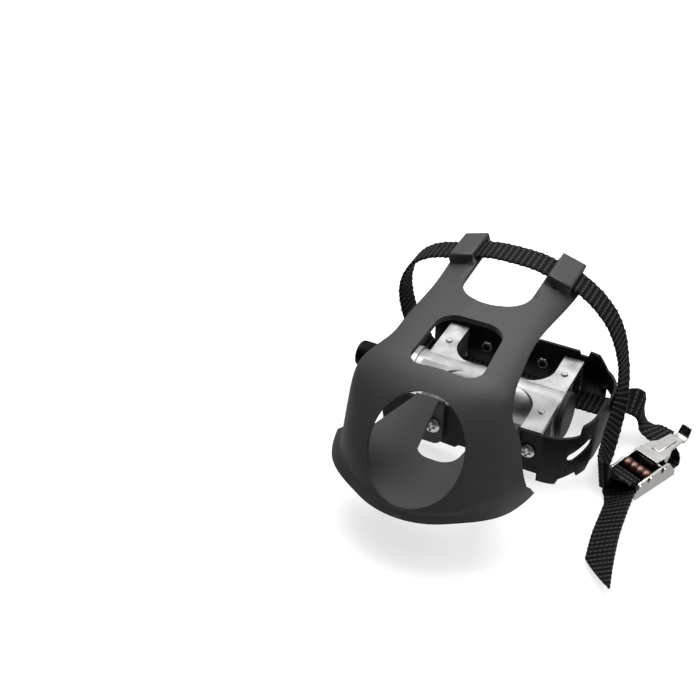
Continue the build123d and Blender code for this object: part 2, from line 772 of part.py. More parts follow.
def make_clip_floor():
    """Floor plate of the nose with its two tabs, and their turned-down flanges."""
    half = NOSE_LEVELS[0][2] - 4.2
    depth = NOSE_LEVELS[0][3] - 3.2
    bend_y = NOSE_Y - 24.0
    reach = math.sqrt(1 - ((bend_y - NOSE_Y) / depth) ** 2) * half
    nose = Pos(0, NOSE_Y) * Ellipse(half, depth)
    nose &= Pos(0, bend_y - depth) * Rectangle(half * 3, depth * 2)
    points = [
        (-reach, bend_y + 0.01),
        (reach, bend_y + 0.01),
        (TAB_OUTER, -FLANGE_OUT - 2),
        (TAB_OUTER, -PLATE_OUT),
        (-TAB_OUTER, -PLATE_OUT),
        (-TAB_OUTER, -FLANGE_OUT - 2),
    ]
    plate = nose + make_face(Polyline(*points, close=True))
    points = [
        (-NOTCH_FRONT_HALF, NOTCH_Y),
        (NOTCH_FRONT_HALF, NOTCH_Y),
        (NOTCH_REAR_HALF, -PLATE_OUT),
        (-NOTCH_REAR_HALF, -PLATE_OUT),
    ]
    notch = make_face(Polyline(*points, close=True))
    plate -= fillet([v for v in notch.vertices() if v.Y < NOTCH_Y + 1], NOTCH_ROUND)
    low = CLIP_FLOOR_TOP - CLIP_FLOOR_T
    solid = extrude(Pos(BODY_X, 0, low) * plate, CLIP_FLOOR_T)
    width = TAB_OUTER - TAB_INNER
    height = CLIP_FLOOR_TOP - FLANGE_BOTTOM
    for side in (-1, 1):
        x = BODY_X + side * (TAB_INNER + TAB_OUTER) / 2
        tab = Box(width, FLANGE_T, height)
        low_edges = tab.edges().filter_by(Axis.Y).group_by(Axis.Z)[0]
        tab = fillet(low_edges, FLANGE_ROUND)
        solid += Pos(x, -PLATE_OUT - FLANGE_T / 2, FLANGE_BOTTOM + height / 2) * tab
    bend = solid.edges().filter_by(Axis.X).group_by(Axis.Y)[-1].group_by(Axis.Z)[-1]
    return fillet(bend, FLANGE_T * 0.8)


def make_loop(side):
    """A strap bridge on the end of one prong."""
    x = side * LOOP_X
    height = LOOP_SLOT_H + LOOP_ROOF
    block = Pos(0, 0, (height - CLIP_WALL) / 2) * Box(LOOP_LENGTH, LOOP_WIDTH, height + CLIP_WALL)
    top = block.edges().group_by(Axis.Z)[-1]
    block = fillet(top, 1.6)
    slot = Pos(0, 0, LOOP_SLOT_H / 2) * Box(LOOP_LENGTH * 2, LOOP_SLOT_WIDTH, LOOP_SLOT_H)
    place = Pos(BODY_X + x, LOOP_Y, roof_height(x, LOOP_Y)) * Rot(0, side * LOOP_TILT, 0)
    return place * block, place * slot


def make_toe_clip():
    shell = make_nose() + make_roof()
    shell -= side_cut(1, OUTER_EDGE, OUTER_EAVE_END)
    shell -= side_cut(-1, CRANK_EDGE, CRANK_EAVE_END)
    shell -= window_cut()
    shell -= gap_cut()
    shell -= nose_hole_cut()
    shell += make_clip_floor()
    for side in (-1, 1):
        block, slot = make_loop(side)
        shell += block
        shell -= slot
    for x in (-CLIP_SCREW_X, CLIP_SCREW_X):
        hole = Rot(90, 0, 0) * Cylinder(CLIP_SCREW_R + HOLE_GAP, 20)
        shell -= Pos(BODY_X + x, -PLATE_OUT, 0) * hole
    return shell


# Rear reflector


def reflector_middle():
    return (REFLECTOR_LOW + REFLECTOR_HIGH) / 2


def make_reflector_housing():
    height = REFLECTOR_HIGH - REFLECTOR_LOW
    block = Box(REFLECTOR_HALF * 2, REFLECTOR_FRAME_T, height)
    block = fillet(block.edges().filter_by(Axis.Y), 2.0)
    depth = REFLECTOR_FRAME_T - REFLECTOR_BACK
    opening = Box((REFLECTOR_HALF - REFLECTOR_LIP * 2) * 2, depth, height - REFLECTOR_LIP * 2)
    seat = Box((REFLECTOR_HALF - REFLECTOR_LIP) * 2, LENS_T, height - REFLECTOR_LIP)
    y = PLATE_OUT + REFLECTOR_FRAME_T / 2
    housing = block - Pos(0, REFLECTOR_BACK / 2, 0) * opening
    housing -= Pos(0, (REFLECTOR_FRAME_T - LENS_T) / 2, 0) * seat
    housing = Pos(BODY_X, y, reflector_middle()) * housing
    length = CAGE_T + REFLECTOR_STUD_PROUD
    for x in (-REFLECTOR_STUD_X, REFLECTOR_STUD_X):
        stud = Rot(90, 0, 0) * Cylinder(REFLECTOR_STUD_R, length)
        housing += Pos(BODY_X + x, PLATE_OUT - length / 2, reflector_middle()) * stud
    return housing


def make_reflector_lens():
    height = REFLECTOR_HIGH - REFLECTOR_LOW - REFLECTOR_LIP - RUNNING
    width = (REFLECTOR_HALF - REFLECTOR_LIP) * 2 - RUNNING
    lens = Box(width, LENS_T, height)
    y = PLATE_OUT + REFLECTOR_FRAME_T - LENS_T / 2
    return Pos(BODY_X, y, reflector_middle()) * lens


def make_reflector_nuts():
    nut = hex_nut(REFLECTOR_NUT_ACROSS, REFLECTOR_NUT_T, REFLECTOR_STUD_R + RUNNING)
    nuts = []
    for x in (-REFLECTOR_STUD_X, REFLECTOR_STUD_X):
        nuts.append(Pos(BODY_X + x, PLATE_IN, reflector_middle()) * Rot(90, 0, 0) * nut)
    return group(nuts)


# Strap buckle, made in its own frame and then set beside the pedal


def set_down(solid):
    """Put a buckle piece in its place beside the outer end, on the floor."""
    return Pos(BODY_X + BUCKLE_X, BUCKLE_Y, FLOOR_Z) * Rot(0, 0, BUCKLE_TURN) * solid


def cross_pin(u, z, radius, half):
    return Pos(u, 0, z) * Rot(90, 0, 0) * Cylinder(radius, half * 2)


def make_buckle_frame():
    length = FRAME_REAR - FRAME_FRONT
    middle = (FRAME_REAR + FRAME_FRONT) / 2
    outer_half = FRAME_INNER_HALF + FRAME_T
    base = Pos(middle, 0, FRAME_T / 2) * Box(length, outer_half * 2, FRAME_T)
    profile = [
        (FRAME_FRONT, 0),
        (FRAME_REAR, 0),
        (FRAME_REAR, FRAME_T + 1.6),
        (LEVER_U + 3.4, FRAME_HEIGHT),
        (LEVER_U - 3.4, FRAME_HEIGHT),
        (BAR_U - 1.2, BAR_Z + 2.4),
        (FRAME_FRONT, BAR_Z),
    ]
    cheek = make_face(Polyline(*profile, close=True))
    cheek = fillet([v for v in cheek.vertices() if v.Y > FRAME_T], 1.2)
    frame = base
    for side in (-1, 1):
        v = side * (FRAME_INNER_HALF + FRAME_T / 2)
        frame += Pos(0, v, 0) * extrude(Plane.XZ * cheek, FRAME_T / 2, both=True)
    for u, z in ((BAR_U, BAR_Z), (ROLLER_U, ROLLER_Z), (LEVER_U, LEVER_Z)):
        frame -= cross_pin(u, z, PIN_R + RUNNING / 2, outer_half * 2)
    return set_down(frame)


def buckle_pin(u, z):
    """A pin across the cheeks, with a small rivet head at each end."""
    half = FRAME_INNER_HALF + FRAME_T
    pin = cross_pin(u, z, PIN_R, half)
    for side in (-1, 1):
        head = Rot(90, 0, 0) * Cylinder(PIN_R * 1.6, 0.7)
        pin += Pos(u, side * (half + 0.35), z) * head
    return set_down(pin)


def make_roller():
    half = FRAME_INNER_HALF - SEAT_GAP
    pitch = half * 2 / ROLLER_BANDS
    profile = [(-half, PIN_R + RUNNING), (-half, ROLLER_R - ROLLER_GROOVE)]
    for i in range(ROLLER_BANDS):
        start = -half + i * pitch
        profile.append((start + pitch * 0.2, ROLLER_R))
        profile.append((start + pitch * 0.8, ROLLER_R))
        profile.append((start + pitch, ROLLER_R - ROLLER_GROOVE))
    profile.append((half, PIN_R + RUNNING))
    roller = turned(profile)
    return set_down(Pos(ROLLER_U, 0, ROLLER_Z) * Rot(0, 0, 90) * roller)


def make_lever():
    """Stamped lever: top plate, two ears on the pin, a toothed cam and a hooked tip."""
    top = LEVER_TOP
    under = top - LEVER_T
    front = LEVER_U - 3.4
    neck = LEVER_LENGTH - 9.5
    tip = LEVER_LENGTH
    plate = [
        (front, under),
        (neck, under),
        (neck + 2.2, under - 1.6),
        (tip - 3.2, under - 1.6),
        (tip - 0.4, under + 3.4),
        (tip - 1.5, under + 4.0),
        (tip - 4.0, top - 1.6),
        (neck + 2.8, top - 1.6),
        (neck + 0.6, top),
        (front, top),
    ]
    strip = extrude(Plane.XZ * make_face(Polyline(*plate, close=True)), LEVER_HALF, both=True)
    trim = make_face(
        Polyline(
            (LEVER_U + 6.5, LEVER_HALF + 1),
            (LEVER_U + 6.5, LEVER_HALF),
            (LEVER_U + 10, LEVER_HALF - 1.9),
            (neck, LEVER_HALF - 2.6),
            (tip - 2, LEVER_HALF - 3.4),
            (tip + 1, LEVER_HALF - 4.4),
            (tip + 1, LEVER_HALF + 1),
            close=True,
        )
    )
    trim = extrude(trim, 40)
    lever = strip - trim - mirror(trim, Plane.XZ)
    rib = Pos((front + neck) / 2 + 2, 0, top) * Box(neck - front - 8, 4.6, 1.2)
    lever += fillet(rib.edges().group_by(Axis.Z)[-1], 0.5)
    ear = [
        (front, top),
        (front, LEVER_Z - 1),
        (LEVER_U - 2, LEVER_Z - 2.6),
        (LEVER_U + 2, LEVER_Z - 2.6),
        (LEVER_U + 6.5, under),
        (LEVER_U + 6.5, top),
    ]
    ear_face = Plane.XZ * make_face(Polyline(*ear, close=True))
    for side in (-1, 1):
        v = side * (LEVER_HALF - 0.5)
        lever += Pos(0, v, 0) * extrude(ear_face, 0.5, both=True)
    cam = [
        (LEVER_U + 2.3, LEVER_Z),
        (LEVER_U + 2.2, LEVER_Z - 3.2),
        (LEVER_U + 2.7, LEVER_Z - 2.6),
        (LEVER_U + 3.2, LEVER_Z - 3.1),
        (LEVER_U + 3.8, LEVER_Z - 2.3),
        (LEVER_U + 4.3, LEVER_Z - 2.6),
        (LEVER_U + 6.0, under + 0.2),
        (LEVER_U + 3.6, under + 0.2),
    ]
    cam_face = Plane.XZ * make_face(Polyline(*cam, close=True))
    lever += extrude(cam_face, LEVER_HALF - 0.5, both=True)
    lever -= cross_pin(LEVER_U, LEVER_Z, PIN_R + RUNNING, LEVER_HALF * 2)
    return set_down(lever)


def make_lever_spring():
    """Close-wound torsion spring on the lever pin, drawn as its touching turns."""
    pitch = SPRING_WIRE_R * 2
    half = SPRING_TURNS * pitch / 2
    inner = PIN_R + 0.12
    outer = inner + SPRING_WIRE_R * 1.4
    profile = [(-half, inner)]
    for i in range(SPRING_TURNS):
        start = -half + i * pitch
        profile.append((start + pitch * 0.02, outer - SPRING_WIRE_R * 0.7))
        profile.append((start + pitch * 0.3, outer))
        profile.append((start + pitch * 0.7, outer))
    profile.append((half, outer - SPRING_WIRE_R * 0.7))
    profile.append((half, inner))
    coil = turned(profile)
    return set_down(Pos(LEVER_U, 0, LEVER_Z) * Rot(0, 0, 90) * coil)


# Strap: a ribbon through stations of (place, direction of its width)


def buckle_point(u, v, z):
    """A place given in the buckle's frame, in the pedal's frame less the body's offset."""
    turn = math.radians(BUCKLE_TURN)
    x = BUCKLE_X + u * math.cos(turn) - v * math.sin(turn)
    y = BUCKLE_Y + u * math.sin(turn) + v * math.cos(turn)
    return Vector(x, y, FLOOR_Z + z)


def strap_end():
    """The fixed end, wrapped round the buckle's front bar."""
    across = buckle_point(0, -1, 0) - buckle_point(0, 0, 0)
    wrap = PIN_R + SEAT_GAP * 1.6 + STRAP_T / 2
    rows = []
    for turn in (70, 40, 10, -20, -50, -80, -105):
        angle = math.radians(turn)
        u = BAR_U + wrap * math.cos(angle)
        rows.append((buckle_point(u, 0, BAR_Z - wrap * math.sin(angle)), across))
    return rows


def strap_rise():
    """From the bar round a low bight and up past the outer wall."""
    wall = CAGE_OUTER_END
    lift = FLOOR_Z + STRAP_WIDTH / 2 + 0.7
    return [
        (Vector(wall + 16.2, -23.2, lift + 1.5), Vector(0.9, -0.4, 0.12)),
        (Vector(wall + 13.8, -25.4, lift + 2.2), Vector(0.72, -0.3, 0.62)),
        (Vector(wall + 10.4, -25.8, lift + 2.3), Vector(0.25, 0.1, 0.96)),
        (Vector(wall + 7.6, -24.2, lift + 1.0), Vector(-0.05, 0, 1)),
        (Vector(wall + 6.0, -21.4, lift + 0.4), Vector(-0.15, 0, 1)),
        (Vector(wall + 5.4, -17.6, lift + 0.35), Vector(-0.25, -0.05, 0.97)),
        (Vector(wall + 5.0, -12.6, lift + 0.9), Vector(-0.3, -0.2, 0.93)),
        (Vector(wall + 4.7, -7.2, lift + 3.0), Vector(-0.32, -0.44, 0.84)),
        (Vector(wall + 4.3, -1.2, lift + 6.8), Vector(-0.32, -0.55, 0.77)),
        (Vector(wall + 3.9, 6.0, lift + 12.4), Vector(-0.28, -0.65, 0.7)),
        (Vector(wall + 3.3, 13.0, lift + 20.0), Vector(-0.2, -0.79, 0.57)),
        (Vector(wall + 1.9, 17.6, lift + 28.5), Vector(-0.1, -0.91, 0.37)),
        (Vector(wall, 19.8, lift + 37.0), Vector(0, -0.99, 0.14)),
    ]


def strap_over():
    """Over the roof through both loops, down the crank side and across: (x, z) stations."""
    over = STRAP_T / 2 + 0.5
    slope = math.tan(math.radians(LOOP_TILT))
    seat = roof_height(LOOP_X, LOOP_Y) + over / math.cos(math.radians(LOOP_TILT))
    half = LOOP_LENGTH / 2 + 1.0
    inner = (LOOP_X - half, seat + half * slope)
    outer = (LOOP_X + half, seat - half * slope)
    end = -BODY_HALF_LENGTH
    return [
        (CAGE_OUTER_END - 3.2, 38.5),
        (CAGE_OUTER_END - 8.2, 48.8),
        (44.5, 56.4),
        (38.5, 61.3),
        outer,
        inner,
        (8.0, inner[1] + 1.6),
        (-8.0, inner[1] + 1.6),
        (-inner[0], inner[1]),
        (-outer[0], outer[1]),
        (-40.0, outer[1] - 2.2),
        (-47.0, outer[1] - 5.6),
        (-53.0, outer[1] - 11.0),
        (-57.4, 45.6),
        (end - 22.0, 36.5),
        (end - 20.8, 26.5),
        (end - 17.8, 17.0),
        (end - 13.4, 8.6),
        (end - 8.4, 1.4),
        (end - 4.0, STRAP_CAGE_Z + 1.8),
        (end - 0.6, STRAP_CAGE_Z),
        (CAGE_OUTER_END - 13.2, STRAP_CAGE_Z),
    ]


def strap_fold():
    """Out of the cage, over a small bulge and round to the buckle."""
    wall = CAGE_OUTER_END
    rows = [
        (Vector(wall - 5.2, LOOP_Y, STRAP_CAGE_Z + 0.6), Vector(0, -1, 0)),
        (Vector(wall + 1.2, LOOP_Y, STRAP_CAGE_Z + 4.2), Vector(0, -0.99, -0.12)),
        (Vector(wall + 5.6, LOOP_Y, 3.6), Vector(0, -0.88, -0.47)),
        (Vector(wall + 9.0, 20.5, 4.2), Vector(0, -0.82, -0.57)),
        (Vector(wall + 11.2, 21.5, 2.2), Vector(0.05, -0.82, -0.57)),
        (Vector(wall + 11.8, 23.4, -1.4), Vector(0.1, -0.87, -0.48)),
        (Vector(wall + 12.0, 24.4, -5.2), Vector(0.2, -0.95, -0.2)),
        (Vector(wall + 13.2, 24.0, -8.2), Vector(0.25, -0.92, 0.3)),
        (Vector(wall + 16.2, 22.0, -9.5), Vector(0.3, -0.93, 0.2)),
        (Vector(wall + 20.6, 19.4, -9.5), Vector(0.2, -0.97, 0.1)),
    ]
    arrive = Vector(0.98, -0.2, 0)
    turn = math.radians(BUCKLE_TURN)
    leave = Vector(-math.cos(turn), -math.sin(turn), 0)
    axis = (arrive + leave).normalized()
    out = (arrive - leave).normalized()
    lean = arrive.dot(axis) / arrive.dot(out)
    radius = STRAP_FOLD_R
    low = FRAME_T + SEAT_GAP + STRAP_T / 2
    end = buckle_point(FRAME_REAR + 4.5, 0, low)
    steps = 6
    for i in range(steps + 1):
        angle = math.pi * i / steps
        back = axis * (radius * lean * (math.pi - angle))
        place = end - back + out * (radius * math.sin(angle))
        place += Vector(0, 0, radius * (1 + math.cos(angle)))
        tangent = out * math.cos(angle) - Vector(0, 0, math.sin(angle)) + axis * lean
        normal = out * math.sin(angle) + Vector(0, 0, math.cos(angle))
        rows.append((place, normal.cross(tangent) * -1))
    return rows


def strap_tail():
    """Through the buckle and away over the floor to the cut end."""
    wall = CAGE_OUTER_END
    low = FRAME_T + SEAT_GAP + STRAP_T / 2
    across = buckle_point(0, -1, 0) - buckle_point(0, 0, 0)
    flat = FLOOR_Z + STRAP_T / 2 + 0.1
    return [
        (buckle_point(FRAME_REAR - 4, 0, low), across),
        (buckle_point(FRAME_FRONT - 1, 0, low), across),
        (Vector(wall + 18.2, -27.4, flat + 1.9), Vector(0.84, -0.42, 0.3)),
        (Vector(wall + 19.6, -33.8, flat + 3.6), Vector(0.8, -0.2, 0.5)),
        (Vector(wall + 20.2, -41.3, flat + 4.5), Vector(0.78, 0.05, 0.62)),
        (Vector(wall + 21.3, -56.6, flat + 4.5), Vector(0.78, 0.08, 0.62)),
        (Vector(wall + 23.0, -68.4, flat + 4.5), Vector(0.78, 0.12, 0.61)),
        (Vector(wall + 25.3, -81.0, flat + 4.5), Vector(0.78, 0.15, 0.6)),
        (Vector(wall + 28.1, -94.2, flat + 4.5), Vector(0.78, 0.16, 0.6)),
    ]


def strap_rows():
    rows = strap_end() + strap_rise()
    for x, z in strap_over():
        rows.append((Vector(x, LOOP_Y, z), Vector(0, -1, 0)))
    return rows + strap_fold() + strap_tail()


def strap_tip(rows):
    """What the slanting cut takes off the strap's free end."""
    place, width = rows[-1]
    tangent = (place - rows[-2][0]).normalized()
    across = (width - tangent * width.dot(tangent)).normalized()
    plane = Plane(origin=place + Vector(BODY_X, 0, 0), x_dir=across, z_dir=tangent.cross(across))
    half = STRAP_WIDTH / 2
    slope = STRAP_TIP / STRAP_WIDTH
    points = [
        (half - STRAP_TIP_BLUNT, 0),
        (-half - 1, STRAP_TIP + slope),
        (-half - 1, -1),
        (half - STRAP_TIP_BLUNT, -1),
    ]
    return extrude(plane * make_face(Polyline(*points, close=True)), STRAP_T * 3, both=True)


def make_strap():
    rows = strap_rows()
    last = len(rows) - 1
    sections = []
    length = 0.0
    for i, (place, width) in enumerate(rows):
        before = rows[max(i - 1, 0)][0]
        after = rows[min(i + 1, last)][0]
        if i:
            length += (place - before).length
        tangent = (after - before).normalized()
        across = (width - tangent * width.dot(tangent)).normalized()
        plane = Plane(origin=place + Vector(BODY_X, 0, 0), x_dir=across, z_dir=tangent)
        sections.append(plane * Rectangle(STRAP_WIDTH, STRAP_T).wire())
    print("strap length", round(length, 1))
    return Solid.make_loft(sections[::-1], ruled=True) - strap_tip(rows)


PIECES = {
    "spindle": make_spindle,
    "inner_cup": lambda: make_cup(INNER_BALL_X, INNER_PITCH_R, INNER_CUP_R),
    "outer_cup": lambda: make_cup(OUTER_BALL_X, OUTER_PITCH_R, OUTER_CUP_R),
    "inner_balls": lambda: ball_ring(INNER_BALL_X, INNER_PITCH_R, INNER_BALLS),
    "outer_balls": lambda: ball_ring(OUTER_BALL_X, OUTER_PITCH_R, OUTER_BALLS),
    "cone_nut": make_cone_nut,
    "lock_washer": make_lock_washer,
    "lock_nut": make_lock_nut,
    "seal_collar": make_seal_collar,
    "dust_cap": make_dust_cap,
    "pedal_body": make_body,
    "cage": make_cage,
    "cage_screws": make_cage_screws,
    "toe_clip": make_toe_clip,
    "toe_clip_screws": make_clip_screws,
    "toe_clip_washers": make_clip_washers,
    "toe_clip_nuts": make_clip_nuts,
    "reflector_housing": make_reflector_housing,
    "rear_reflector": make_reflector_lens,
    "reflector_nuts": make_reflector_nuts,
    "buckle_frame": make_buckle_frame,
    "strap_bar": lambda: buckle_pin(BAR_U, BAR_Z),
    "buckle_roller": make_roller,
    "roller_pin": lambda: buckle_pin(ROLLER_U, ROLLER_Z),
    "buckle_lever": make_lever,
    "lever_pin": lambda: buckle_pin(LEVER_U, LEVER_Z),
    "lever_spring": make_lever_spring,
    "strap": make_strap,
}

for name, make in PIECES.items():
    export_step(make(), f"parts/{name}.step")
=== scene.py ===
"""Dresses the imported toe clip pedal: finishes, webbing strap, spring, thread and stage."""

import math

import bmesh
import bpy
from mathutils import Matrix, Vector


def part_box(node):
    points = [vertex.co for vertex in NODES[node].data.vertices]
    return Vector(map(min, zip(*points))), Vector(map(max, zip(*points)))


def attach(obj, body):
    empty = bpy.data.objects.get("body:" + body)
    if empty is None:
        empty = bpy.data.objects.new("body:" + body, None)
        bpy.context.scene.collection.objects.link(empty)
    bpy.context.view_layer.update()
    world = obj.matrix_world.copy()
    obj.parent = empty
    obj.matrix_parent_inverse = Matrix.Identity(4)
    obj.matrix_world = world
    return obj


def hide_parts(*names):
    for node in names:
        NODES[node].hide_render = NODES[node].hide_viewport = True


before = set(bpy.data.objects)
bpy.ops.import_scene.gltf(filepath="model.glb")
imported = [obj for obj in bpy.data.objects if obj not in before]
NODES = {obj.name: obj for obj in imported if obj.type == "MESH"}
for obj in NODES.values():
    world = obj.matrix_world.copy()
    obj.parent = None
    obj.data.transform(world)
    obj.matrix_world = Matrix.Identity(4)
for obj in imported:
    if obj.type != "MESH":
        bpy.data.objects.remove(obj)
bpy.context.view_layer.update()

bl_info = {
    "name": "Toe clip pedal",
    "version": (1, 0, 0),
    "blender": (4, 5, 0),
    "location": "View3D > Sidebar > Pedal",
    "description": "Finishes, strap and stage for a toe clip pedal",
    "category": "Object",
}

MM = 0.001
# The cage's feet stand on the floor, and the reflector sits across the body's middle
FLOOR_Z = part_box("cage")[0].z
BODY_X = (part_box("reflector_housing")[0].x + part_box("reflector_housing")[1].x) / 2


class PedalSizes(bpy.types.PropertyGroup):
    """Sizes of what is added to the frame."""

    strap_width: bpy.props.FloatProperty(
        name="Strap width", description="Width of the webbing", default=14.5 * MM, unit="LENGTH"
    )
    strap_thickness: bpy.props.FloatProperty(
        name="Strap thickness",
        description="Thickness of the webbing",
        default=1.6 * MM,
        unit="LENGTH",
    )
    rib_pitch: bpy.props.FloatProperty(
        name="Rib pitch",
        description="Spacing of the weave's cross ribs",
        default=2.9 * MM,
        unit="LENGTH",
    )
    rib_height: bpy.props.FloatProperty(
        name="Rib height", description="Height of a cross rib", default=0.36 * MM, unit="LENGTH"
    )
    yarns: bpy.props.IntProperty(
        name="Yarns", description="Yarns that show across each rib", default=6, min=2, max=12
    )
    tip_length: bpy.props.FloatProperty(
        name="Tip",
        description="Length of the strap's slanting tip",
        default=21.0 * MM,
        unit="LENGTH",
    )
    thread_pitch: bpy.props.FloatProperty(
        name="Thread pitch",
        description="Pitch of the spindle thread",
        default=1.27 * MM,
        unit="LENGTH",
    )
    spring_wire: bpy.props.FloatProperty(
        name="Spring wire",
        description="Radius of the lever spring's wire",
        default=0.38 * MM,
        unit="LENGTH",
    )


class PedalColours(bpy.types.PropertyGroup):
    """Colours of the finishes."""

    clip: bpy.props.FloatVectorProperty(
        name="Toe clip",
        description="Moulded plastic",
        default=(0.022, 0.022, 0.024),
        subtype="COLOR",
    )
    webbing: bpy.props.FloatVectorProperty(
        name="Webbing", description="Woven strap", default=(0.004, 0.004, 0.0043), subtype="COLOR"
    )
    alloy: bpy.props.FloatVectorProperty(
        name="Cast alloy", description="Pedal body", default=(0.42, 0.42, 0.42), subtype="COLOR"
    )
    paint: bpy.props.FloatVectorProperty(
        name="Cage paint",
        description="Satin black cage",
        default=(0.0045, 0.0045, 0.005),
        subtype="COLOR",
    )
    oxide: bpy.props.FloatVectorProperty(
        name="Black oxide",
        description="Blackened spindle",
        default=(0.03, 0.03, 0.032),
        subtype="COLOR",
    )
    zinc: bpy.props.FloatVectorProperty(
        name="Zinc plate", description="Screws and nuts", default=(0.62, 0.62, 0.6), subtype="COLOR"
    )
    chrome: bpy.props.FloatVectorProperty(
        name="Chrome", description="Buckle plating", default=(0.46, 0.45, 0.43), subtype="COLOR"
    )
    roller: bpy.props.FloatVectorProperty(
        name="Roller",
        description="Dark brown roller",
        default=(0.12, 0.066, 0.056),
        subtype="COLOR",
    )
    amber: bpy.props.FloatVectorProperty(
        name="Amber", description="Reflector lens", default=(0.72, 0.15, 0.008), subtype="COLOR"
    )
    rubber: bpy.props.FloatVectorProperty(
        name="Rubber", description="Seal and dust cap", default=(0.02, 0.02, 0.021), subtype="COLOR"
    )
    bearing: bpy.props.FloatVectorProperty(
        name="Bearings", description="Cups, balls, nuts", default=(0.62, 0.62, 0.63), subtype="COLOR"
    )
    wire: bpy.props.FloatVectorProperty(
        name="Spring wire", description="Lever spring", default=(0.5, 0.5, 0.5), subtype="COLOR"
    )


class StageSettings(bpy.types.PropertyGroup):
    """Camera and light."""

    azimuth: bpy.props.FloatProperty(
        name="Azimuth",
        description="Camera's turn about the pedal",
        default=math.radians(26.789),
        subtype="ANGLE",
    )
    elevation: bpy.props.FloatProperty(
        name="Elevation",
        description="Camera's height angle",
        default=math.radians(37.269),
        subtype="ANGLE",
    )
    distance: bpy.props.FloatProperty(
        name="Distance",
        description="Camera to the body's centre",
        default=706.35 * MM,
        unit="LENGTH",
    )
    aside: bpy.props.FloatProperty(
        name="Aside",
        description="Body's centre, right of the picture's centre",
        default=72.247 * MM,
        unit="LENGTH",
    )
    above: bpy.props.FloatProperty(
        name="Above",
        description="Body's centre, above the picture's centre",
        default=-21.769 * MM,
        unit="LENGTH",
    )
    lens: bpy.props.FloatProperty(
        name="Lens", description="Focal length on a 36 mm sensor", default=71.66, min=1.0
    )
    floor: bpy.props.FloatVectorProperty(
        name="Floor", description="Floor colour", default=(0.4, 0.4, 0.4), subtype="COLOR"
    )
    glow: bpy.props.FloatProperty(
        name="Glow", description="Light that shines through the floor", default=0.66, min=0.0
    )


def sizes():
    return bpy.context.scene.pedal_sizes


def colours():
    return bpy.context.scene.pedal_colours


# Shader nodes


class Val:
    """A shader value on which Python arithmetic can be written: each step adds a Math node."""

    def __init__(self, finish, socket):
        self.finish = finish
        self.socket = socket

    def step(self, operation, first, second):
        return self.finish.node("ShaderNodeMath", {"operation": operation}, {0: first, 1: second})

    def __add__(self, other):
        return self.step("ADD", self, other)

    def __radd__(self, other):
        return self.step("ADD", other, self)

    def __sub__(self, other):
        return self.step("SUBTRACT", self, other)

    def __rsub__(self, other):
        return self.step("SUBTRACT", other, self)

    def __mul__(self, other):
        return self.step("MULTIPLY", self, other)

    def __rmul__(self, other):
        return self.step("MULTIPLY", other, self)

    def __pow__(self, other):
        return self.step("POWER", self, other)

    def wave(self):
        """A wave that is 1 at every whole number and 0 halfway between."""
        turn = self * math.tau
        return self.finish.node("ShaderNodeMath", {"operation": "COSINE"}, {0: turn}) * 0.5 + 0.5


class Finish:
    """A node material made from a Principled shader and whatever feeds it."""

    def __init__(self, name):
        self.material = bpy.data.materials.new(name)
        self.material.use_nodes = True
        self.tree = self.material.node_tree
        self.tree.nodes.clear()
        self.shader = self.tree.nodes.new("ShaderNodeBsdfPrincipled")
        output = self.tree.nodes.new("ShaderNodeOutputMaterial")
        self.tree.links.new(self.shader.outputs[0], output.inputs[0])

    def put(self, socket, value):
        if isinstance(value, Val):
            self.tree.links.new(value.socket, socket)
        else:
            socket.default_value = value

    def node(self, kind, settings=None, inputs=None, out=0):
        new = self.tree.nodes.new(kind)
        for key, value in (settings or {}).items():
            if key == "stops":
                for stop, (place, level) in zip(new.color_ramp.elements, value):
                    stop.position = place
                    stop.color = grey(level)
            else:
                setattr(new, key, value)
        for key, value in (inputs or {}).items():
            self.put(new.inputs[key], value)
        return Val(self, new.outputs[out])

    def place(self):
        return self.node("ShaderNodeTexCoord", out="Object")

    def noise(self, scale, detail):
        inputs = {"Vector": self.place(), "Scale": scale, "Detail": detail, "Roughness": 0.55}
        return self.node("ShaderNodeTexNoise", {}, inputs)

    def spread(self, value, low, high):
        """A value brought from low and high to 0 and 1, and held there beyond them."""
        inputs = {"Value": value, "From Min": low, "From Max": high}
        return self.node("ShaderNodeMapRange", {}, inputs)

    def mix(self, factor, first, second, blend="MIX"):
        """A mix of two colours, which a Mix node takes at inputs 6 and 7 and gives at output 2."""
        settings = {"data_type": "RGBA", "blend_type": blend}
        return self.node("ShaderNodeMix", settings, {0: factor, 6: first, 7: second}, out=2)

    def dot(self, first, second):
        settings = {"operation": "DOT_PRODUCT"}
        return self.node("ShaderNodeVectorMath", settings, {0: first, 1: second}, out="Value")

    def bump(self, height, strength, distance, normal=None):
        inputs = {"Strength": strength, "Distance": distance, "Height": height}
        if normal is not None:
            inputs["Normal"] = normal
        return self.node("ShaderNodeBump", {}, inputs)

    def rim(self, radius):
        """A normal that rolls over sharp edges, and a mask that is 1 on those edges."""
        rolled = self.node("ShaderNodeBevel", {"samples": 6}, {"Radius": radius})
        true = self.node("ShaderNodeNewGeometry", out="Normal")
        return rolled, self.spread(1.0 - self.dot(rolled, true), low=0.01, high=0.25)

    def shade(self, **values):
        for key, value in values.items():
            self.put(self.shader.inputs[key.replace("_", " ")], value)
        return self.material


class Sky(Finish):
    """The studio's surroundings, made with the same nodes as a material."""

    def __init__(self, name):
        self.world = bpy.data.worlds.new(name)
        self.world.use_nodes = True
        self.tree = self.world.node_tree
        self.shader = self.tree.nodes["Background"]


def tone(colour, gain):
    """A colour made lighter or darker, with its alpha."""
    return tuple(min(1.0, c * gain) for c in colour) + (1.0,)


def grey(level):
    return (level, level, level, 1.0)


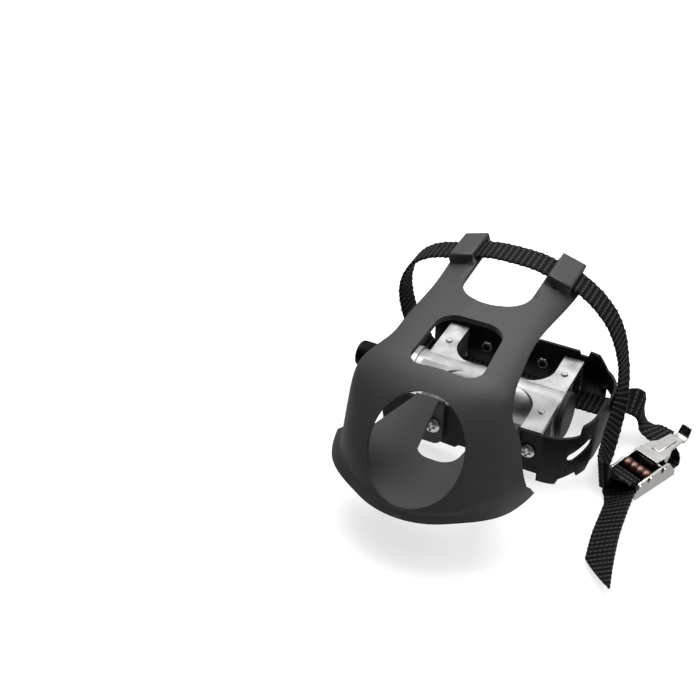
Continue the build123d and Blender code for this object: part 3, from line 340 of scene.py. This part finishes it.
def moulded_plastic():
    """Charcoal plastic from a fine-grained mould, paler on its edges: edge wear and a painted edge
    highlight.
    """
    f = Finish("moulded_plastic")
    c = colours().clip
    rolled, rim = f.rim(radius=0.45 * MM)
    cloud = f.noise(scale=45.0, detail=4.0)
    grain = f.noise(scale=2400.0, detail=2.0)
    base = f.mix(cloud, tone(c, 0.86), tone(c, 1.16))
    # Painted edge highlight: the edge mask lifts the colour to a pale grey, part edge wear and part
    # highlight.
    base = f.mix(rim * (0.25 + cloud * 0.5), base, tone(c, 2.6))
    rough = 0.43 + cloud * 0.1 + grain * 0.08
    normal = f.bump(grain, strength=0.22, distance=0.05 * MM, normal=rolled)
    return f.shade(Base_Color=base, Roughness=rough, Normal=normal, Specular_IOR_Level=0.36)


def cast_alloy():
    """Tumbled casting: sandy faces, brighter on worn edges."""
    f = Finish("cast_alloy")
    c = colours().alloy
    rolled, rim = f.rim(radius=0.5 * MM)
    cloud = f.spread(f.noise(scale=120.0, detail=4.0), low=0.35, high=0.65)
    sand = f.noise(scale=1300.0, detail=3.0)
    pit = f.spread(f.noise(scale=420.0, detail=2.0), low=0.66, high=0.74)
    base = f.mix(cloud, tone(c, 0.72), tone(c, 1.14))
    base = f.mix(pit * 0.5, base, tone(c, 0.5))
    base = f.mix(rim * 0.6, base, tone(c, 1.45))
    rough = 0.38 + cloud * 0.14 - rim * 0.12
    normal = f.bump(sand - pit * 0.8, strength=0.32, distance=0.1 * MM, normal=rolled)
    return f.shade(Base_Color=base, Roughness=rough, Metallic=1.0, Normal=normal)


def satin_paint(name, colour):
    """Satin black over metal or plastic, paler on its edges: paint worn thin and a painted edge
    highlight.
    """
    f = Finish(name)
    rolled, rim = f.rim(radius=0.3 * MM)
    cloud = f.noise(scale=70.0, detail=3.0)
    peel = f.noise(scale=1100.0, detail=2.0)
    base = f.mix(cloud, tone(colour, 0.75), tone(colour, 1.4))
    # Painted edge highlight: the edge mask lifts the black towards grey, partly for paint worn thin.
    base = f.mix(rim * (0.2 + cloud * 0.6), base, tone(colour, 6.0))
    rough = 0.34 + cloud * 0.16
    normal = f.bump(peel, strength=0.12, distance=0.05 * MM, normal=rolled)
    return f.shade(Base_Color=base, Roughness=rough, Normal=normal, Specular_IOR_Level=0.14)


def plated(name, colour, rough, fine):
    """Bright plating with faint polishing marks and a little tarnish."""
    f = Finish(name)
    rolled, rim = f.rim(radius=0.15 * MM)
    tarnish = f.noise(scale=260.0, detail=4.0)
    marks = f.noise(scale=fine, detail=2.0)
    waves = f.noise(scale=110.0, detail=1.0)
    base = f.mix(tarnish, tone(colour, 0.8), tone(colour, 1.06))
    base = f.mix(rim * 0.5, base, tone(colour, 1.3))
    normal = f.bump(waves, strength=0.35, distance=1.2 * MM, normal=rolled)
    normal = f.bump(marks, strength=0.08, distance=0.03 * MM, normal=normal)
    return f.shade(Base_Color=base, Roughness=rough + tarnish * 0.14, Metallic=1.0, Normal=normal)


def black_rubber():
    """Dull black rubber, paler where its edges are rubbed."""
    f = Finish("black_rubber")
    c = colours().rubber
    rolled, rim = f.rim(radius=0.4 * MM)
    cloud = f.noise(scale=120.0, detail=3.0)
    grain = f.noise(scale=2200.0, detail=2.0)
    rough = 0.48 + cloud * 0.2
    base = f.mix(cloud, grey(0.008), tone(c, 1.0))
    base = f.mix(rim * 0.4, base, grey(0.05))
    normal = f.bump(grain, strength=0.25, distance=0.05 * MM, normal=rolled)
    return f.shade(Base_Color=base, Roughness=rough, Normal=normal, Specular_IOR_Level=0.35)


def amber_lens():
    """Clear amber over a prismatic back."""
    f = Finish("amber_lens")
    c = colours().amber
    cells = {"Vector": f.place(), "Scale": 950.0}
    cell = f.node("ShaderNodeTexVoronoi", {"feature": "DISTANCE_TO_EDGE"}, cells)
    facet = f.spread(cell, low=0.0, high=0.3)
    cloud = f.noise(scale=60.0, detail=2.0)
    base = f.mix(facet * (0.6 + cloud * 0.4), tone(c, 0.55), tone(c, 1.0))
    normal = f.bump(facet, strength=0.4, distance=0.2 * MM)
    return f.shade(Base_Color=base, Roughness=0.12, Normal=normal, Coat_Weight=0.6)


def webbing():
    """Black webbing of twisted yarns, with a painted highlight where each yarn tops a rib and none in
    the grooves.
    """
    f = Finish("webbing")
    c = colours().webbing
    weave = f.node("ShaderNodeUVMap", {"uv_map": "weave"})
    lane = f.node("ShaderNodeSeparateXYZ", {}, {0: weave}, out="X")
    along = f.node("ShaderNodeSeparateXYZ", {}, {0: weave}, out="Y")
    crest = along.wave()
    yarn_highlight = (lane * sizes().yarns).wave()
    twist = f.node("ShaderNodeMath", {"operation": "SINE"}, {0: lane * 190.0 + along * 9.0})
    fuzz = f.noise(scale=1900.0, detail=3.0)
    cloud = f.noise(scale=80.0, detail=3.0)
    base = f.mix(cloud, tone(c, 0.35), tone(c, 0.7))
    # Painted highlight: pale flecks on the rib crests, one on each yarn across the strap.
    base = f.mix(crest ** 4.0 * (0.3 + yarn_highlight * 0.7) * (0.3 + fuzz * 0.7), base, tone(c, 18.0))
    rough = 0.6 + fuzz * 0.2
    normal = f.bump(twist * 0.35 + fuzz, strength=0.4, distance=0.08 * MM)
    return f.shade(Base_Color=base, Roughness=rough, Normal=normal, Specular_IOR_Level=0.085)


def paint_node(node, material):
    slots = NODES[node].data.materials
    slots.clear()
    slots.append(material)


# Mesh helpers

WELD = 0.002 * MM
EDGE_ANGLE = math.radians(38)


def add_piece(name, mesh, body, material, smooth=True):
    """Put a mesh or a curve into the scene as a piece that rides on a body."""
    piece = bpy.data.objects.new(name, mesh)
    bpy.context.scene.collection.objects.link(piece)
    mesh.materials.append(material)
    if smooth:
        mesh.shade_smooth()
    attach(piece, body)
    return piece


def break_edges(node, width, segments=2):
    """Weld a sheet or turned node and break its sharp edges."""
    weld = NODES[node].modifiers.new("weld", "WELD")
    weld.merge_threshold = WELD
    bevel = NODES[node].modifiers.new("broken_edges", "BEVEL")
    bevel.width = width
    bevel.segments = segments
    bevel.limit_method = "ANGLE"
    bevel.angle_limit = EDGE_ANGLE


# Toe clip's nose, in millimetres from the body's centre

NOSE_Y = -62.0
RIM_Z = 12.5
FLOOR_TOP_Z = 15.6
HOLE_FOOT_Z = 21.0
# Share by which the rim is drawn in, and how far the hole's foot is lowered
RIM_DRAW = 0.085
HOLE_DROP = 3.0
# Heights at which both have faded out
DRAW_TOP_Z = 38.0
DROP_TOP_Z = 45.0
# Plan distances from the nose's centre over which both come in, and turns over which they fade
NOSE_REACH = (25.0, 45.0)
NOSE_FADE = (math.radians(25), math.radians(60))
CLIP_SHARP = math.radians(30)


def ease(value, start, stop):
    """A smooth step from 0 at start to 1 at stop."""
    t = min(1.0, max(0.0, (value - start) / (stop - start)))
    return t * t * (3 - 2 * t)


def draw_in_nose():
    """The toe clip with its nose shortened at the rim, and the foot of the nose's hole lowered."""
    mesh = bpy.data.meshes.new("toe_clip_shell")
    shell = bmesh.new()
    shell.from_mesh(NODES["toe_clip"].data)
    bmesh.ops.remove_doubles(shell, verts=shell.verts, dist=WELD)
    for vert in shell.verts:
        x, y, z = (vert.co - Vector((BODY_X, NOSE_Y * MM, 0))) / MM
        turn = abs(math.atan2(x, -y))
        share = ease(math.hypot(x, y), *NOSE_REACH) * (1 - ease(turn, *NOSE_FADE))
        rise = min(1.0, max(0.0, (z - RIM_Z) / (DRAW_TOP_Z - RIM_Z)))
        shrink = 1 - RIM_DRAW * share * (1 - rise) ** 2
        sink = ease(z, FLOOR_TOP_Z, HOLE_FOOT_Z) * (1 - ease(z, HOLE_FOOT_Z, DROP_TOP_Z))
        drop = HOLE_DROP * share * sink
        vert.co = Vector((BODY_X + x * shrink * MM, (NOSE_Y + y * shrink) * MM, (z - drop) * MM))
    shell.to_mesh(mesh)
    shell.free()
    return mesh


# Strap route, in millimetres from the body's centre: (place, direction of the width)

BUCKLE = Vector((84.0, -4.0, 0.0))
BUCKLE_TURN = math.radians(66.4)
ALONG = Vector((math.cos(BUCKLE_TURN), math.sin(BUCKLE_TURN), 0.0))
ASIDE = Vector((-math.sin(BUCKLE_TURN), math.cos(BUCKLE_TURN), 0.0))
LOOP_X = 24.4
LOOP_Y = 20.5
LOOP_HALF = 7.45
LOOP_ROOF = 65.938
LOOP_TILT = math.radians(17.0)
ROUTE_FLOOR = FLOOR_Z / MM
# Strap bar along the buckle and above the floor, and the strap's middle from the bar's
BAR_U = -16.2
BAR_Z = 6.6
BAR_REACH = 2.53
# Strap's middle above the floor in the buckle, and above a loop's roof
BED_Z = 2.1
SEAT = 1.3
# Heights above the floor from which the rising strand and the tail are measured
RISE_BASE = 7.95
TAIL_BASE = 0.9
FOLD_RADIUS = 3.1
FOLD_STEPS = 6


def by_buckle(u, v, z):
    """A point along the buckle, across it and above the floor."""
    return BUCKLE + ALONG * u + ASIDE * v + Vector((0, 0, ROUTE_FLOOR + z))


def route_end():
    """The sewn end, round the strap bar."""
    rows = []
    for turn in (70, 40, 10, -20, -50, -80, -105):
        angle = math.radians(turn)
        u = BAR_U + BAR_REACH * math.cos(angle)
        rows.append((by_buckle(u, 0, BAR_Z - BAR_REACH * math.sin(angle)), -ASIDE))
    return rows


def route_rise():
    """The strand that leaves the buckle and rises beside the cage."""
    lift = Vector((0, 0, ROUTE_FLOOR + RISE_BASE))
    rows = [
        ((75.4, -23.2, 1.5), (0.9, -0.4, 0.12)),
        ((73.0, -25.4, 2.2), (0.72, -0.3, 0.62)),
        ((69.6, -25.8, 2.3), (0.25, 0.1, 0.96)),
        ((66.8, -24.2, 1.0), (-0.05, 0, 1)),
        ((65.2, -21.4, 0.4), (-0.15, 0, 1)),
        ((64.6, -17.6, 0.35), (-0.25, -0.05, 0.97)),
        ((64.2, -12.6, 0.9), (-0.3, -0.2, 0.93)),
        ((63.9, -7.2, 3.0), (-0.32, -0.44, 0.84)),
        ((63.5, -1.2, 6.8), (-0.32, -0.55, 0.77)),
        ((63.1, 6.0, 12.4), (-0.28, -0.65, 0.7)),
        ((62.5, 13.0, 20.0), (-0.2, -0.79, 0.57)),
        ((61.1, 17.6, 28.5), (-0.1, -0.91, 0.37)),
        ((59.2, 19.8, 37.0), (0, -0.99, 0.14)),
    ]
    return [(Vector(p) + lift, Vector(w)) for p, w in rows]


def route_over():
    """Over the prongs through both loops, down the crank side and back under the platform."""
    slope = math.tan(LOOP_TILT)
    seat = LOOP_ROOF + SEAT / math.cos(LOOP_TILT)
    inner = (LOOP_X - LOOP_HALF, seat + LOOP_HALF * slope)
    outer = (LOOP_X + LOOP_HALF, seat - LOOP_HALF * slope)
    rows = [
        (56.0, 38.5),
        (51.0, 48.8),
        (44.5, 56.4),
        (38.5, 61.3),
        outer,
        inner,
        (8.0, inner[1] + 1.6),
        (-8.0, inner[1] + 1.6),
        (-inner[0], inner[1]),
        (-outer[0], outer[1]),
        (-40.0, outer[1] - 2.2),
        (-47.0, outer[1] - 5.6),
        (-53.0, outer[1] - 11.0),
        (-57.4, 45.6),
        (-59.0, 36.5),
        (-57.8, 26.5),
        (-54.8, 17.0),
        (-50.4, 8.6),
        (-45.4, 1.4),
        (-41.0, -2.8),
        (-37.6, -4.6),
        (46.0, -4.6),
    ]
    return [(Vector((x, LOOP_Y, z)), Vector((0, -1, 0))) for x, z in rows]


def route_fold():
    """Out of the cage's end, down to the floor and folded under into the buckle."""
    rows = [
        ((54.0, 20.5, -4.0), (0, -1, 0)),
        ((60.4, 20.5, -0.4), (0, -0.99, -0.12)),
        ((64.8, 20.5, 3.6), (0, -0.88, -0.47)),
        ((68.2, 20.5, 4.2), (0, -0.82, -0.57)),
        ((70.4, 21.5, 2.2), (0.05, -0.82, -0.57)),
        ((71.0, 23.4, -1.4), (0.1, -0.87, -0.48)),
        ((71.2, 24.4, -5.2), (0.2, -0.95, -0.2)),
        ((72.4, 24.0, -8.2), (0.25, -0.92, 0.3)),
        ((75.4, 22.0, -9.5), (0.3, -0.93, 0.2)),
        ((79.8, 19.4, -9.5), (0.2, -0.97, 0.1)),
    ]
    rows = [(Vector(p), Vector(w)) for p, w in rows]
    arrive = Vector((0.98, -0.2, 0))
    leave = -ALONG
    axis = (arrive + leave).normalized()
    out = (arrive - leave).normalized()
    lean = arrive.dot(axis) / arrive.dot(out)
    end = by_buckle(14.5, 0, BED_Z)
    for i in range(FOLD_STEPS + 1):
        angle = math.pi * i / FOLD_STEPS
        round_off = out * math.sin(angle) + Vector((0, 0, 1 + math.cos(angle)))
        place = end + (round_off - axis * (lean * (math.pi - angle))) * FOLD_RADIUS
        tangent = out * math.cos(angle) - Vector((0, 0, math.sin(angle))) + axis * lean
        normal = out * math.sin(angle) + Vector((0, 0, math.cos(angle)))
        rows.append((place, -normal.cross(tangent)))
    return rows


def route_tail():
    """Through the buckle and out along the floor to the tip."""
    flat = Vector((0, 0, ROUTE_FLOOR + TAIL_BASE))
    rows = [(by_buckle(u, 0, BED_Z), -ASIDE) for u in (6.0, -19.5)]
    tail = [
        ((77.4, -27.4, 1.9), (0.84, -0.42, 0.3)),
        ((78.8, -33.8, 3.6), (0.8, -0.2, 0.5)),
        ((79.4, -41.3, 4.5), (0.86, 0.05, 0.5)),
        ((80.5, -56.6, 4.5), (0.88, 0.08, 0.46)),
        ((82.2, -68.4, 4.5), (0.88, 0.12, 0.45)),
        ((84.5, -81.0, 4.5), (0.88, 0.15, 0.44)),
        ((87.3, -94.2, 4.5), (0.88, 0.16, 0.44)),
    ]
    rows.extend((Vector(p) + flat, Vector(w)) for p, w in tail)
    return rows


def through(a, b, c, d, t):
    """A smooth run between b and c, as a spline through four points."""
    return 0.5 * (
        2 * b + (c - a) * t + (2 * a - 5 * b + 4 * c - d) * t * t + (3 * b - a - 3 * c + d) * t * t * t
    )


def smooth_route(rows, step):
    """Even stations along a smooth curve through the route: (place, width, distance)."""
    last = len(rows) - 1
    dense = []
    for i in range(last):
        four = [rows[min(max(k, 0), last)] for k in (i - 1, i, i + 1, i + 2)]
        length = (four[2][0] - four[1][0]).length
        parts = max(FEWEST_SAMPLES, int(length / step * OVERSAMPLE))
        for k in range(parts):
            t = k / parts
            place = through(four[0][0], four[1][0], four[2][0], four[3][0], t)
            width = four[1][1].lerp(four[2][1], ease(t, 0.0, 1.0))
            dense.append((place, width))
    dense.append(rows[last])
    stations = []
    travelled = 0.0
    wanted = 0.0
    for i in range(1, len(dense)):
        gap = (dense[i][0] - dense[i - 1][0]).length
        while wanted <= travelled + gap:
            t = (wanted - travelled) / gap
            place = dense[i - 1][0].lerp(dense[i][0], t)
            width = dense[i - 1][1].lerp(dense[i][1], t)
            stations.append((place, width, wanted))
            wanted += step
        travelled += gap
    return stations, travelled


# Points across each face, rings to each rib, and how densely the route is sampled first
LANES = 24
RINGS_PER_RIB = 7
OVERSAMPLE = 1.5
FEWEST_SAMPLES = 6
# Shape of the webbing's section and of its slanting tip
EDGE_DIP = 0.02
FACE_SHARE = 0.95
YARN_DIP = 0.3
LIP_SHARE = 0.5
TIP_CURVE = 0.85
TIP_LEFT = 0.07


def ribbon_ring(half, thick, rise, crest, turn, yarns):
    """Points round the webbing at one station, both faces raised into yarns: (across, out)."""
    wide = half * (1 - EDGE_DIP * (1 - crest))
    face = []
    for k in range(LANES + 1):
        lane = k / LANES
        yarn = 1 - YARN_DIP + YARN_DIP * math.cos(math.tau * (yarns * lane + 0.5 * turn))
        face.append((wide * FACE_SHARE * (2 * lane - 1), thick + rise * crest * yarn))
    back = [(-a, -o) for a, o in face]
    lip = thick * LIP_SHARE
    return [(-wide, -lip), (-wide, lip)] + face + [(wide, lip), (wide, -lip)] + back


def weave_strap():
    """The webbing as one ribbed ribbon along its route."""
    size = sizes()
    pitch = size.rib_pitch / MM
    rise = size.rib_height / MM
    half = size.strap_width / MM / 2
    thick = size.strap_thickness / MM / 2 - rise / 2
    rows = route_end() + route_rise() + route_over() + route_fold() + route_tail()
    stations, length = smooth_route(rows, pitch / RINGS_PER_RIB)
    mesh = bmesh.new()
    uv = mesh.loops.layers.uv.new("weave")
    rings = []
    last = len(stations) - 1
    for i, (place, width, distance) in enumerate(stations):
        tangent = (stations[min(i + 1, last)][0] - stations[max(i - 1, 0)][0]).normalized()
        across = (width - tangent * width.dot(tangent)).normalized()
        out = tangent.cross(across)
        crest = 0.5 + 0.5 * math.cos(math.tau * distance / pitch)
        turn = math.floor(distance / pitch + 0.5)
        left = max(length - distance, 0.0) / (size.tip_length / MM)
        left = max(min(1.0, left) ** TIP_CURVE, TIP_LEFT)
        ring = []
        for a, o in ribbon_ring(half, thick, rise, crest, turn, size.yarns):
            spot = place + across * (half - (half - a) * left) + out * o
            vert = mesh.verts.new((spot + Vector((BODY_X / MM, 0, 0))) * MM)
            ring.append((vert, (a / half + 1) / 2, distance / pitch))
        rings.append(ring)
    count = len(rings[0])
    for ring, after in zip(rings, rings[1:]):
        for k in range(count):
            n = (k + 1) % count
            corners = (ring[k], ring[n], after[n], after[k])
            face = mesh.faces.new([corner[0] for corner in corners])
            face.smooth = True
            for loop, corner in zip(face.loops, corners):
                loop[uv].uv = corner[1:]
    mesh.faces.new([corner[0] for corner in rings[0]])
    mesh.faces.new([corner[0] for corner in rings[-1]])
    bmesh.ops.recalc_face_normals(mesh, faces=mesh.faces)
    data = bpy.data.meshes.new("strap_webbing")
    mesh.to_mesh(data)
    mesh.free()
    piece = add_piece("strap_webbing", data, "pedal", webbing(), smooth=False)
    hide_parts("strap")
    length * MM


# Spring and thread

SPRING_TURNS = 8
SPRING_RADIUS = 1.75 * MM
SPRING_STEPS = 20
# Ends of the spring's legs from the ends of its coil: (along the buckle, up)
SPRING_LEAD = (3.2 * MM, 1.6 * MM)
SPRING_FOOT = (-1.2 * MM, -3.0 * MM)
THREAD_MAJOR = 7.14 * MM
# Depth as a share of the pitch, and share of the pitch's half lost to each flat
THREAD_DEPTH = 0.62
THREAD_FLAT = 0.12
THREAD_AROUND = 72
THREAD_STEPS = 8
# Plain stretch at the shoulder, length of the lead-in and how far it starts below the root
THREAD_STOP = 0.15 * MM
LEAD_IN = 1.1 * MM
LEAD_DROP = 0.3 * MM
# The plain end, from the root outwards and short of the shoulder, is shrunk to a core below the root
CORE_FROM = 0.98
CORE_STOP = 0.05 * MM
CORE_GAP = 0.1 * MM
CORE_WELD = 0.001 * MM
THREAD_SHARP = math.radians(35)


def wind_spring():
    """A close-wound torsion spring on the lever pin, with two short legs."""
    low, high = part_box("lever_spring")
    middle = (low + high) / 2
    wire = sizes().spring_wire
    half = SPRING_TURNS * wire
    steps = SPRING_TURNS * SPRING_STEPS
    places = []
    for i in range(steps + 1):
        angle = math.tau * i / SPRING_STEPS
        shift = -half + 2 * half * i / steps
        place = middle + ASIDE * shift + ALONG * (SPRING_RADIUS * math.cos(angle))
        places.append(place + Vector((0, 0, SPRING_RADIUS * math.sin(angle))))
    lead, foot = (ALONG * along + Vector((0, 0, up)) for along, up in (SPRING_LEAD, SPRING_FOOT))
    places = [places[0] + lead] + places + [places[-1] + foot]
    curve = bpy.data.curves.new("lever_spring_wire", "CURVE")
    curve.dimensions = "3D"
    curve.bevel_depth = wire
    curve.bevel_resolution = 2
    line = curve.splines.new("POLY")
    line.points.add(len(places) - 1)
    for spot, place in zip(line.points, places):
        spot.co = (*place, 1.0)
    steel = plated("spring_wire", colours().wire, rough=0.25, fine=1800.0)
    piece = add_piece("lever_spring_wire", curve, "pedal", steel, smooth=False)
    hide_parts("lever_spring")


def cut_thread(material):
    """The spindle with a cut left-hand thread in place of its plain end."""
    pitch = sizes().thread_pitch
    depth = THREAD_DEPTH * pitch
    minor = THREAD_MAJOR - depth
    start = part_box("spindle")[0].x
    mesh = bmesh.new()
    mesh.from_mesh(NODES["spindle"].data)
    bmesh.ops.remove_doubles(mesh, verts=mesh.verts, dist=CORE_WELD)
    for vert in mesh.verts:
        radius = math.hypot(vert.co.y, vert.co.z)
        if vert.co.x < CORE_STOP and radius > minor * CORE_FROM:
            shrink = min(1.0, (minor - CORE_GAP) / radius)
            vert.co.y *= shrink
            vert.co.z *= shrink
    length = -start - THREAD_STOP
    rings = int(length / pitch * THREAD_STEPS)
    grid = []
    for i in range(rings + 1):
        x = start + length * i / rings
        lead_in = min(1.0, (x - start) / LEAD_IN)
        row = []
        for k in range(THREAD_AROUND):
            angle = math.tau * k / THREAD_AROUND
            phase = (x / pitch + k / THREAD_AROUND) % 1.0
            crest = 1.0 - abs(2.0 * phase - 1.0)
            crest = min(1.0, max(0.0, (crest - THREAD_FLAT) / (1.0 - 2.0 * THREAD_FLAT)))
            radius = minor + depth * crest
            radius = min(radius, minor - LEAD_DROP + (depth + LEAD_DROP) * lead_in)
            row.append(mesh.verts.new((x, radius * math.cos(angle), radius * math.sin(angle))))
        grid.append(row)
    for row, after in zip(grid, grid[1:]):
        for k in range(THREAD_AROUND):
            n = (k + 1) % THREAD_AROUND
            mesh.faces.new((row[k], row[n], after[n], after[k]))
    mesh.faces.new(grid[0])
    mesh.faces.new(grid[-1])
    bmesh.ops.recalc_face_normals(mesh, faces=mesh.faces)
    data = bpy.data.meshes.new("spindle_threaded")
    mesh.to_mesh(data)
    mesh.free()
    piece = add_piece("spindle_threaded", data, "spindle", material)
    data.set_sharp_from_angle(angle=THREAD_SHARP)
    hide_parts("spindle")


# Stage

FLOOR_REACH = 60.0
FLOOR_GAP = 0.02 * MM
SENSOR_WIDTH = 36.0
# Direction of the brightest part of the surroundings
SKY_WAY = (-0.249, 0.549, 0.798)
# Grey of the surroundings: towards that direction, and towards the ground
SKY_ABOVE = ((0.3, 0.1), (0.95, 1.3))
SKY_BELOW = ((0.3, 0.0), (0.6, 0.7))
# Lamps: name, place from the point that they face, size in metres, watts
LAMPS = (
    ("top", (-0.1, 0.35, 1.3), 1.2, 24.0),
    ("side", (0.9, 0.2, 0.7), 0.5, 4.0),
)
LAMP_AIM = Vector((BODY_X, -0.03, 0.02))


# Operators

FASTENERS = (
    "cage_screws",
    "toe_clip_screws",
    "toe_clip_washers",
    "toe_clip_nuts",
    "reflector_nuts",
)
BEARINGS = (
    "inner_cup",
    "outer_cup",
    "inner_balls",
    "outer_balls",
    "cone_nut",
    "lock_washer",
    "lock_nut",
)


class PEDAL_OT_clip(bpy.types.Operator):
    """Finish the moulded toe clip"""

    bl_idname = "pedal.clip"
    bl_label = "Toe clip"

    def execute(self, context):
        mesh = draw_in_nose()
        piece = add_piece("toe_clip_shell", mesh, "pedal", moulded_plastic())
        mesh.set_sharp_from_angle(angle=CLIP_SHARP)
        flat = piece.modifiers.new("flat_faces", "WEIGHTED_NORMAL")
        flat.keep_sharp = True
        flat.weight = 100
        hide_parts("toe_clip")
        return {"FINISHED"}


class PEDAL_OT_platform(bpy.types.Operator):
    """Finish the cast body, the cage, their screws and the caps"""

    bl_idname = "pedal.platform"
    bl_label = "Body and cage"

    def execute(self, context):
        paint_node("pedal_body", cast_alloy())
        break_edges("cage", 0.3 * MM)
        paint_node("cage", satin_paint("satin_paint", colours().paint))
        zinc = plated("bright_zinc", colours().zinc, rough=0.2, fine=1500.0)
        for node in FASTENERS:
            break_edges(node, 0.15 * MM)
            paint_node(node, zinc)
        rubber = black_rubber()
        for node in ("seal_collar", "dust_cap"):
            break_edges(node, 0.4 * MM, segments=3)
            paint_node(node, rubber)
        return {"FINISHED"}


class PEDAL_OT_bearings(bpy.types.Operator):
    """Cut the spindle's thread and finish the bearings"""

    bl_idname = "pedal.bearings"
    bl_label = "Spindle and bearings"

    def execute(self, context):
        cut_thread(plated("black_oxide", colours().oxide, rough=0.3, fine=2400.0))
        polished = plated("polished_steel", colours().bearing, rough=0.1, fine=2400.0)
        for node in BEARINGS:
            paint_node(node, polished)
        return {"FINISHED"}


class PEDAL_OT_reflector(bpy.types.Operator):
    """Finish the rear reflector"""

    bl_idname = "pedal.reflector"
    bl_label = "Reflector"

    def execute(self, context):
        break_edges("reflector_housing", 0.35 * MM, segments=3)
        paint_node("reflector_housing", satin_paint("housing_plastic", colours().paint))
        break_edges("rear_reflector", 0.3 * MM, segments=3)
        paint_node("rear_reflector", amber_lens())
        return {"FINISHED"}


class PEDAL_OT_strap(bpy.types.Operator):
    """Weave the strap along its route"""

    bl_idname = "pedal.strap"
    bl_label = "Strap"

    def execute(self, context):
        weave_strap()
        return {"FINISHED"}


class PEDAL_OT_buckle(bpy.types.Operator):
    """Plate the buckle and wind its spring"""

    bl_idname = "pedal.buckle"
    bl_label = "Buckle"

    def execute(self, context):
        chrome = plated("buckle_chrome", colours().chrome, rough=0.08, fine=900.0)
        for node in ("buckle_frame", "buckle_lever", "strap_bar", "roller_pin", "lever_pin"):
            break_edges(node, 0.2 * MM)
            paint_node(node, chrome)
        break_edges("buckle_roller", 0.15 * MM)
        bronze = plated("dark_roller", colours().roller, rough=0.22, fine=1200.0)
        paint_node("buckle_roller", bronze)
        wind_spring()
        return {"FINISHED"}


class PEDAL_OT_stage(bpy.types.Operator):
    """Lay the floor, set the lights and place the camera"""

    bl_idname = "pedal.stage"
    bl_label = "Stage"

    def execute(self, context):
        stage = context.scene.pedal_stage
        self.lay_floor(stage)
        self.light(context)
        self.aim(context, stage)
        return {"FINISHED"}

    def lay_floor(self, stage):
        mesh = bpy.data.meshes.new("floor")
        signs = ((-1, -1), (1, -1), (1, 1), (-1, 1))
        corners = [(x * FLOOR_REACH, y * FLOOR_REACH, FLOOR_Z - FLOOR_GAP) for x, y in signs]
        mesh.from_pydata(corners, [], [(0, 1, 2, 3)])
        floor = bpy.data.objects.new("floor", mesh)
        bpy.context.scene.collection.objects.link(floor)
        f = Finish("floor_paper")
        cloud = f.noise(scale=3.0, detail=2.0)
        c = stage.floor
        paper = f.mix(cloud, tone(c, 0.99), tone(c, 1.01))
        f.shade(Base_Color=paper, Roughness=0.9, Emission_Color=grey(1.0), Emission_Strength=stage.glow)
        mesh.materials.append(f.material)
        floor.visible_glossy = False

    def light(self, context):
        sky = Sky("studio")
        way = sky.node("ShaderNodeTexCoord", out="Generated")
        above = sky.node("ShaderNodeValToRGB", {"stops": SKY_ABOVE}, {0: sky.dot(way, SKY_WAY)})
        down = -1.0 * sky.node("ShaderNodeSeparateXYZ", {}, {0: way}, out="Z")
        below = sky.node("ShaderNodeValToRGB", {"stops": SKY_BELOW}, {0: down})
        sky.put(sky.shader.inputs["Color"], sky.mix(1.0, above, below, blend="ADD"))
        context.scene.world = sky.world
        for name, place, size, power in LAMPS:
            lamp = bpy.data.lights.new(name, "AREA")
            lamp.shape = "SQUARE"
            lamp.size = size
            lamp.energy = power
            light = bpy.data.objects.new(name, lamp)
            light.location = LAMP_AIM + Vector(place)
            light.rotation_euler = Vector(place).to_track_quat("Z", "Y").to_euler()
            context.scene.collection.objects.link(light)

    def aim(self, context, stage):
        a, e = stage.azimuth, stage.elevation
        right = Vector((math.cos(a), math.sin(a), 0))
        up = Vector((-math.sin(a) * math.sin(e), math.cos(a) * math.sin(e), math.cos(e)))
        back = Vector((math.sin(a) * math.cos(e), -math.cos(a) * math.cos(e), math.sin(e)))
        lens = bpy.data.cameras.new("photo_view")
        lens.sensor_width = SENSOR_WIDTH
        lens.lens = stage.lens
        lens.clip_start = 0.01
        camera = bpy.data.objects.new("photo_view", lens)
        place = Vector((BODY_X, 0, 0)) - right * stage.aside - up * stage.above + back * stage.distance
        turn = Matrix((right, up, back)).transposed().to_4x4()
        camera.matrix_world = Matrix.Translation(place) @ turn
        context.scene.collection.objects.link(camera)
        context.scene.camera = camera
        context.scene.view_settings.view_transform = "Standard"


class PEDAL_PT_panel(bpy.types.Panel):
    """Lists the pieces of the pedal"""

    bl_idname = "PEDAL_PT_panel"
    bl_label = "Toe clip pedal"
    bl_space_type = "VIEW_3D"
    bl_region_type = "UI"
    bl_category = "Pedal"

    def draw(self, context):
        for operator in OPERATORS:
            self.layout.operator(operator.bl_idname)
        for key in GROUPS:
            group = getattr(context.scene, key)
            box = self.layout.box()
            for name in group.__annotations__:
                box.prop(group, name)


OPERATORS = (
    PEDAL_OT_clip,
    PEDAL_OT_platform,
    PEDAL_OT_bearings,
    PEDAL_OT_reflector,
    PEDAL_OT_strap,
    PEDAL_OT_buckle,
    PEDAL_OT_stage,
)
GROUPS = {"pedal_sizes": PedalSizes, "pedal_colours": PedalColours, "pedal_stage": StageSettings}


def register():
    for name, group in GROUPS.items():
        bpy.utils.register_class(group)
        setattr(bpy.types.Scene, name, bpy.props.PointerProperty(type=group))
    for cls in OPERATORS + (PEDAL_PT_panel,):
        bpy.utils.register_class(cls)


def unregister():
    for cls in (PEDAL_PT_panel,) + OPERATORS[::-1]:
        bpy.utils.unregister_class(cls)
    for name, group in GROUPS.items():
        delattr(bpy.types.Scene, name)
        bpy.utils.unregister_class(group)


def main():
    register()
    for call in ("clip", "platform", "bearings", "reflector", "strap", "buckle", "stage"):
        getattr(bpy.ops.pedal, call)()


if __name__ == "__main__":
    main()
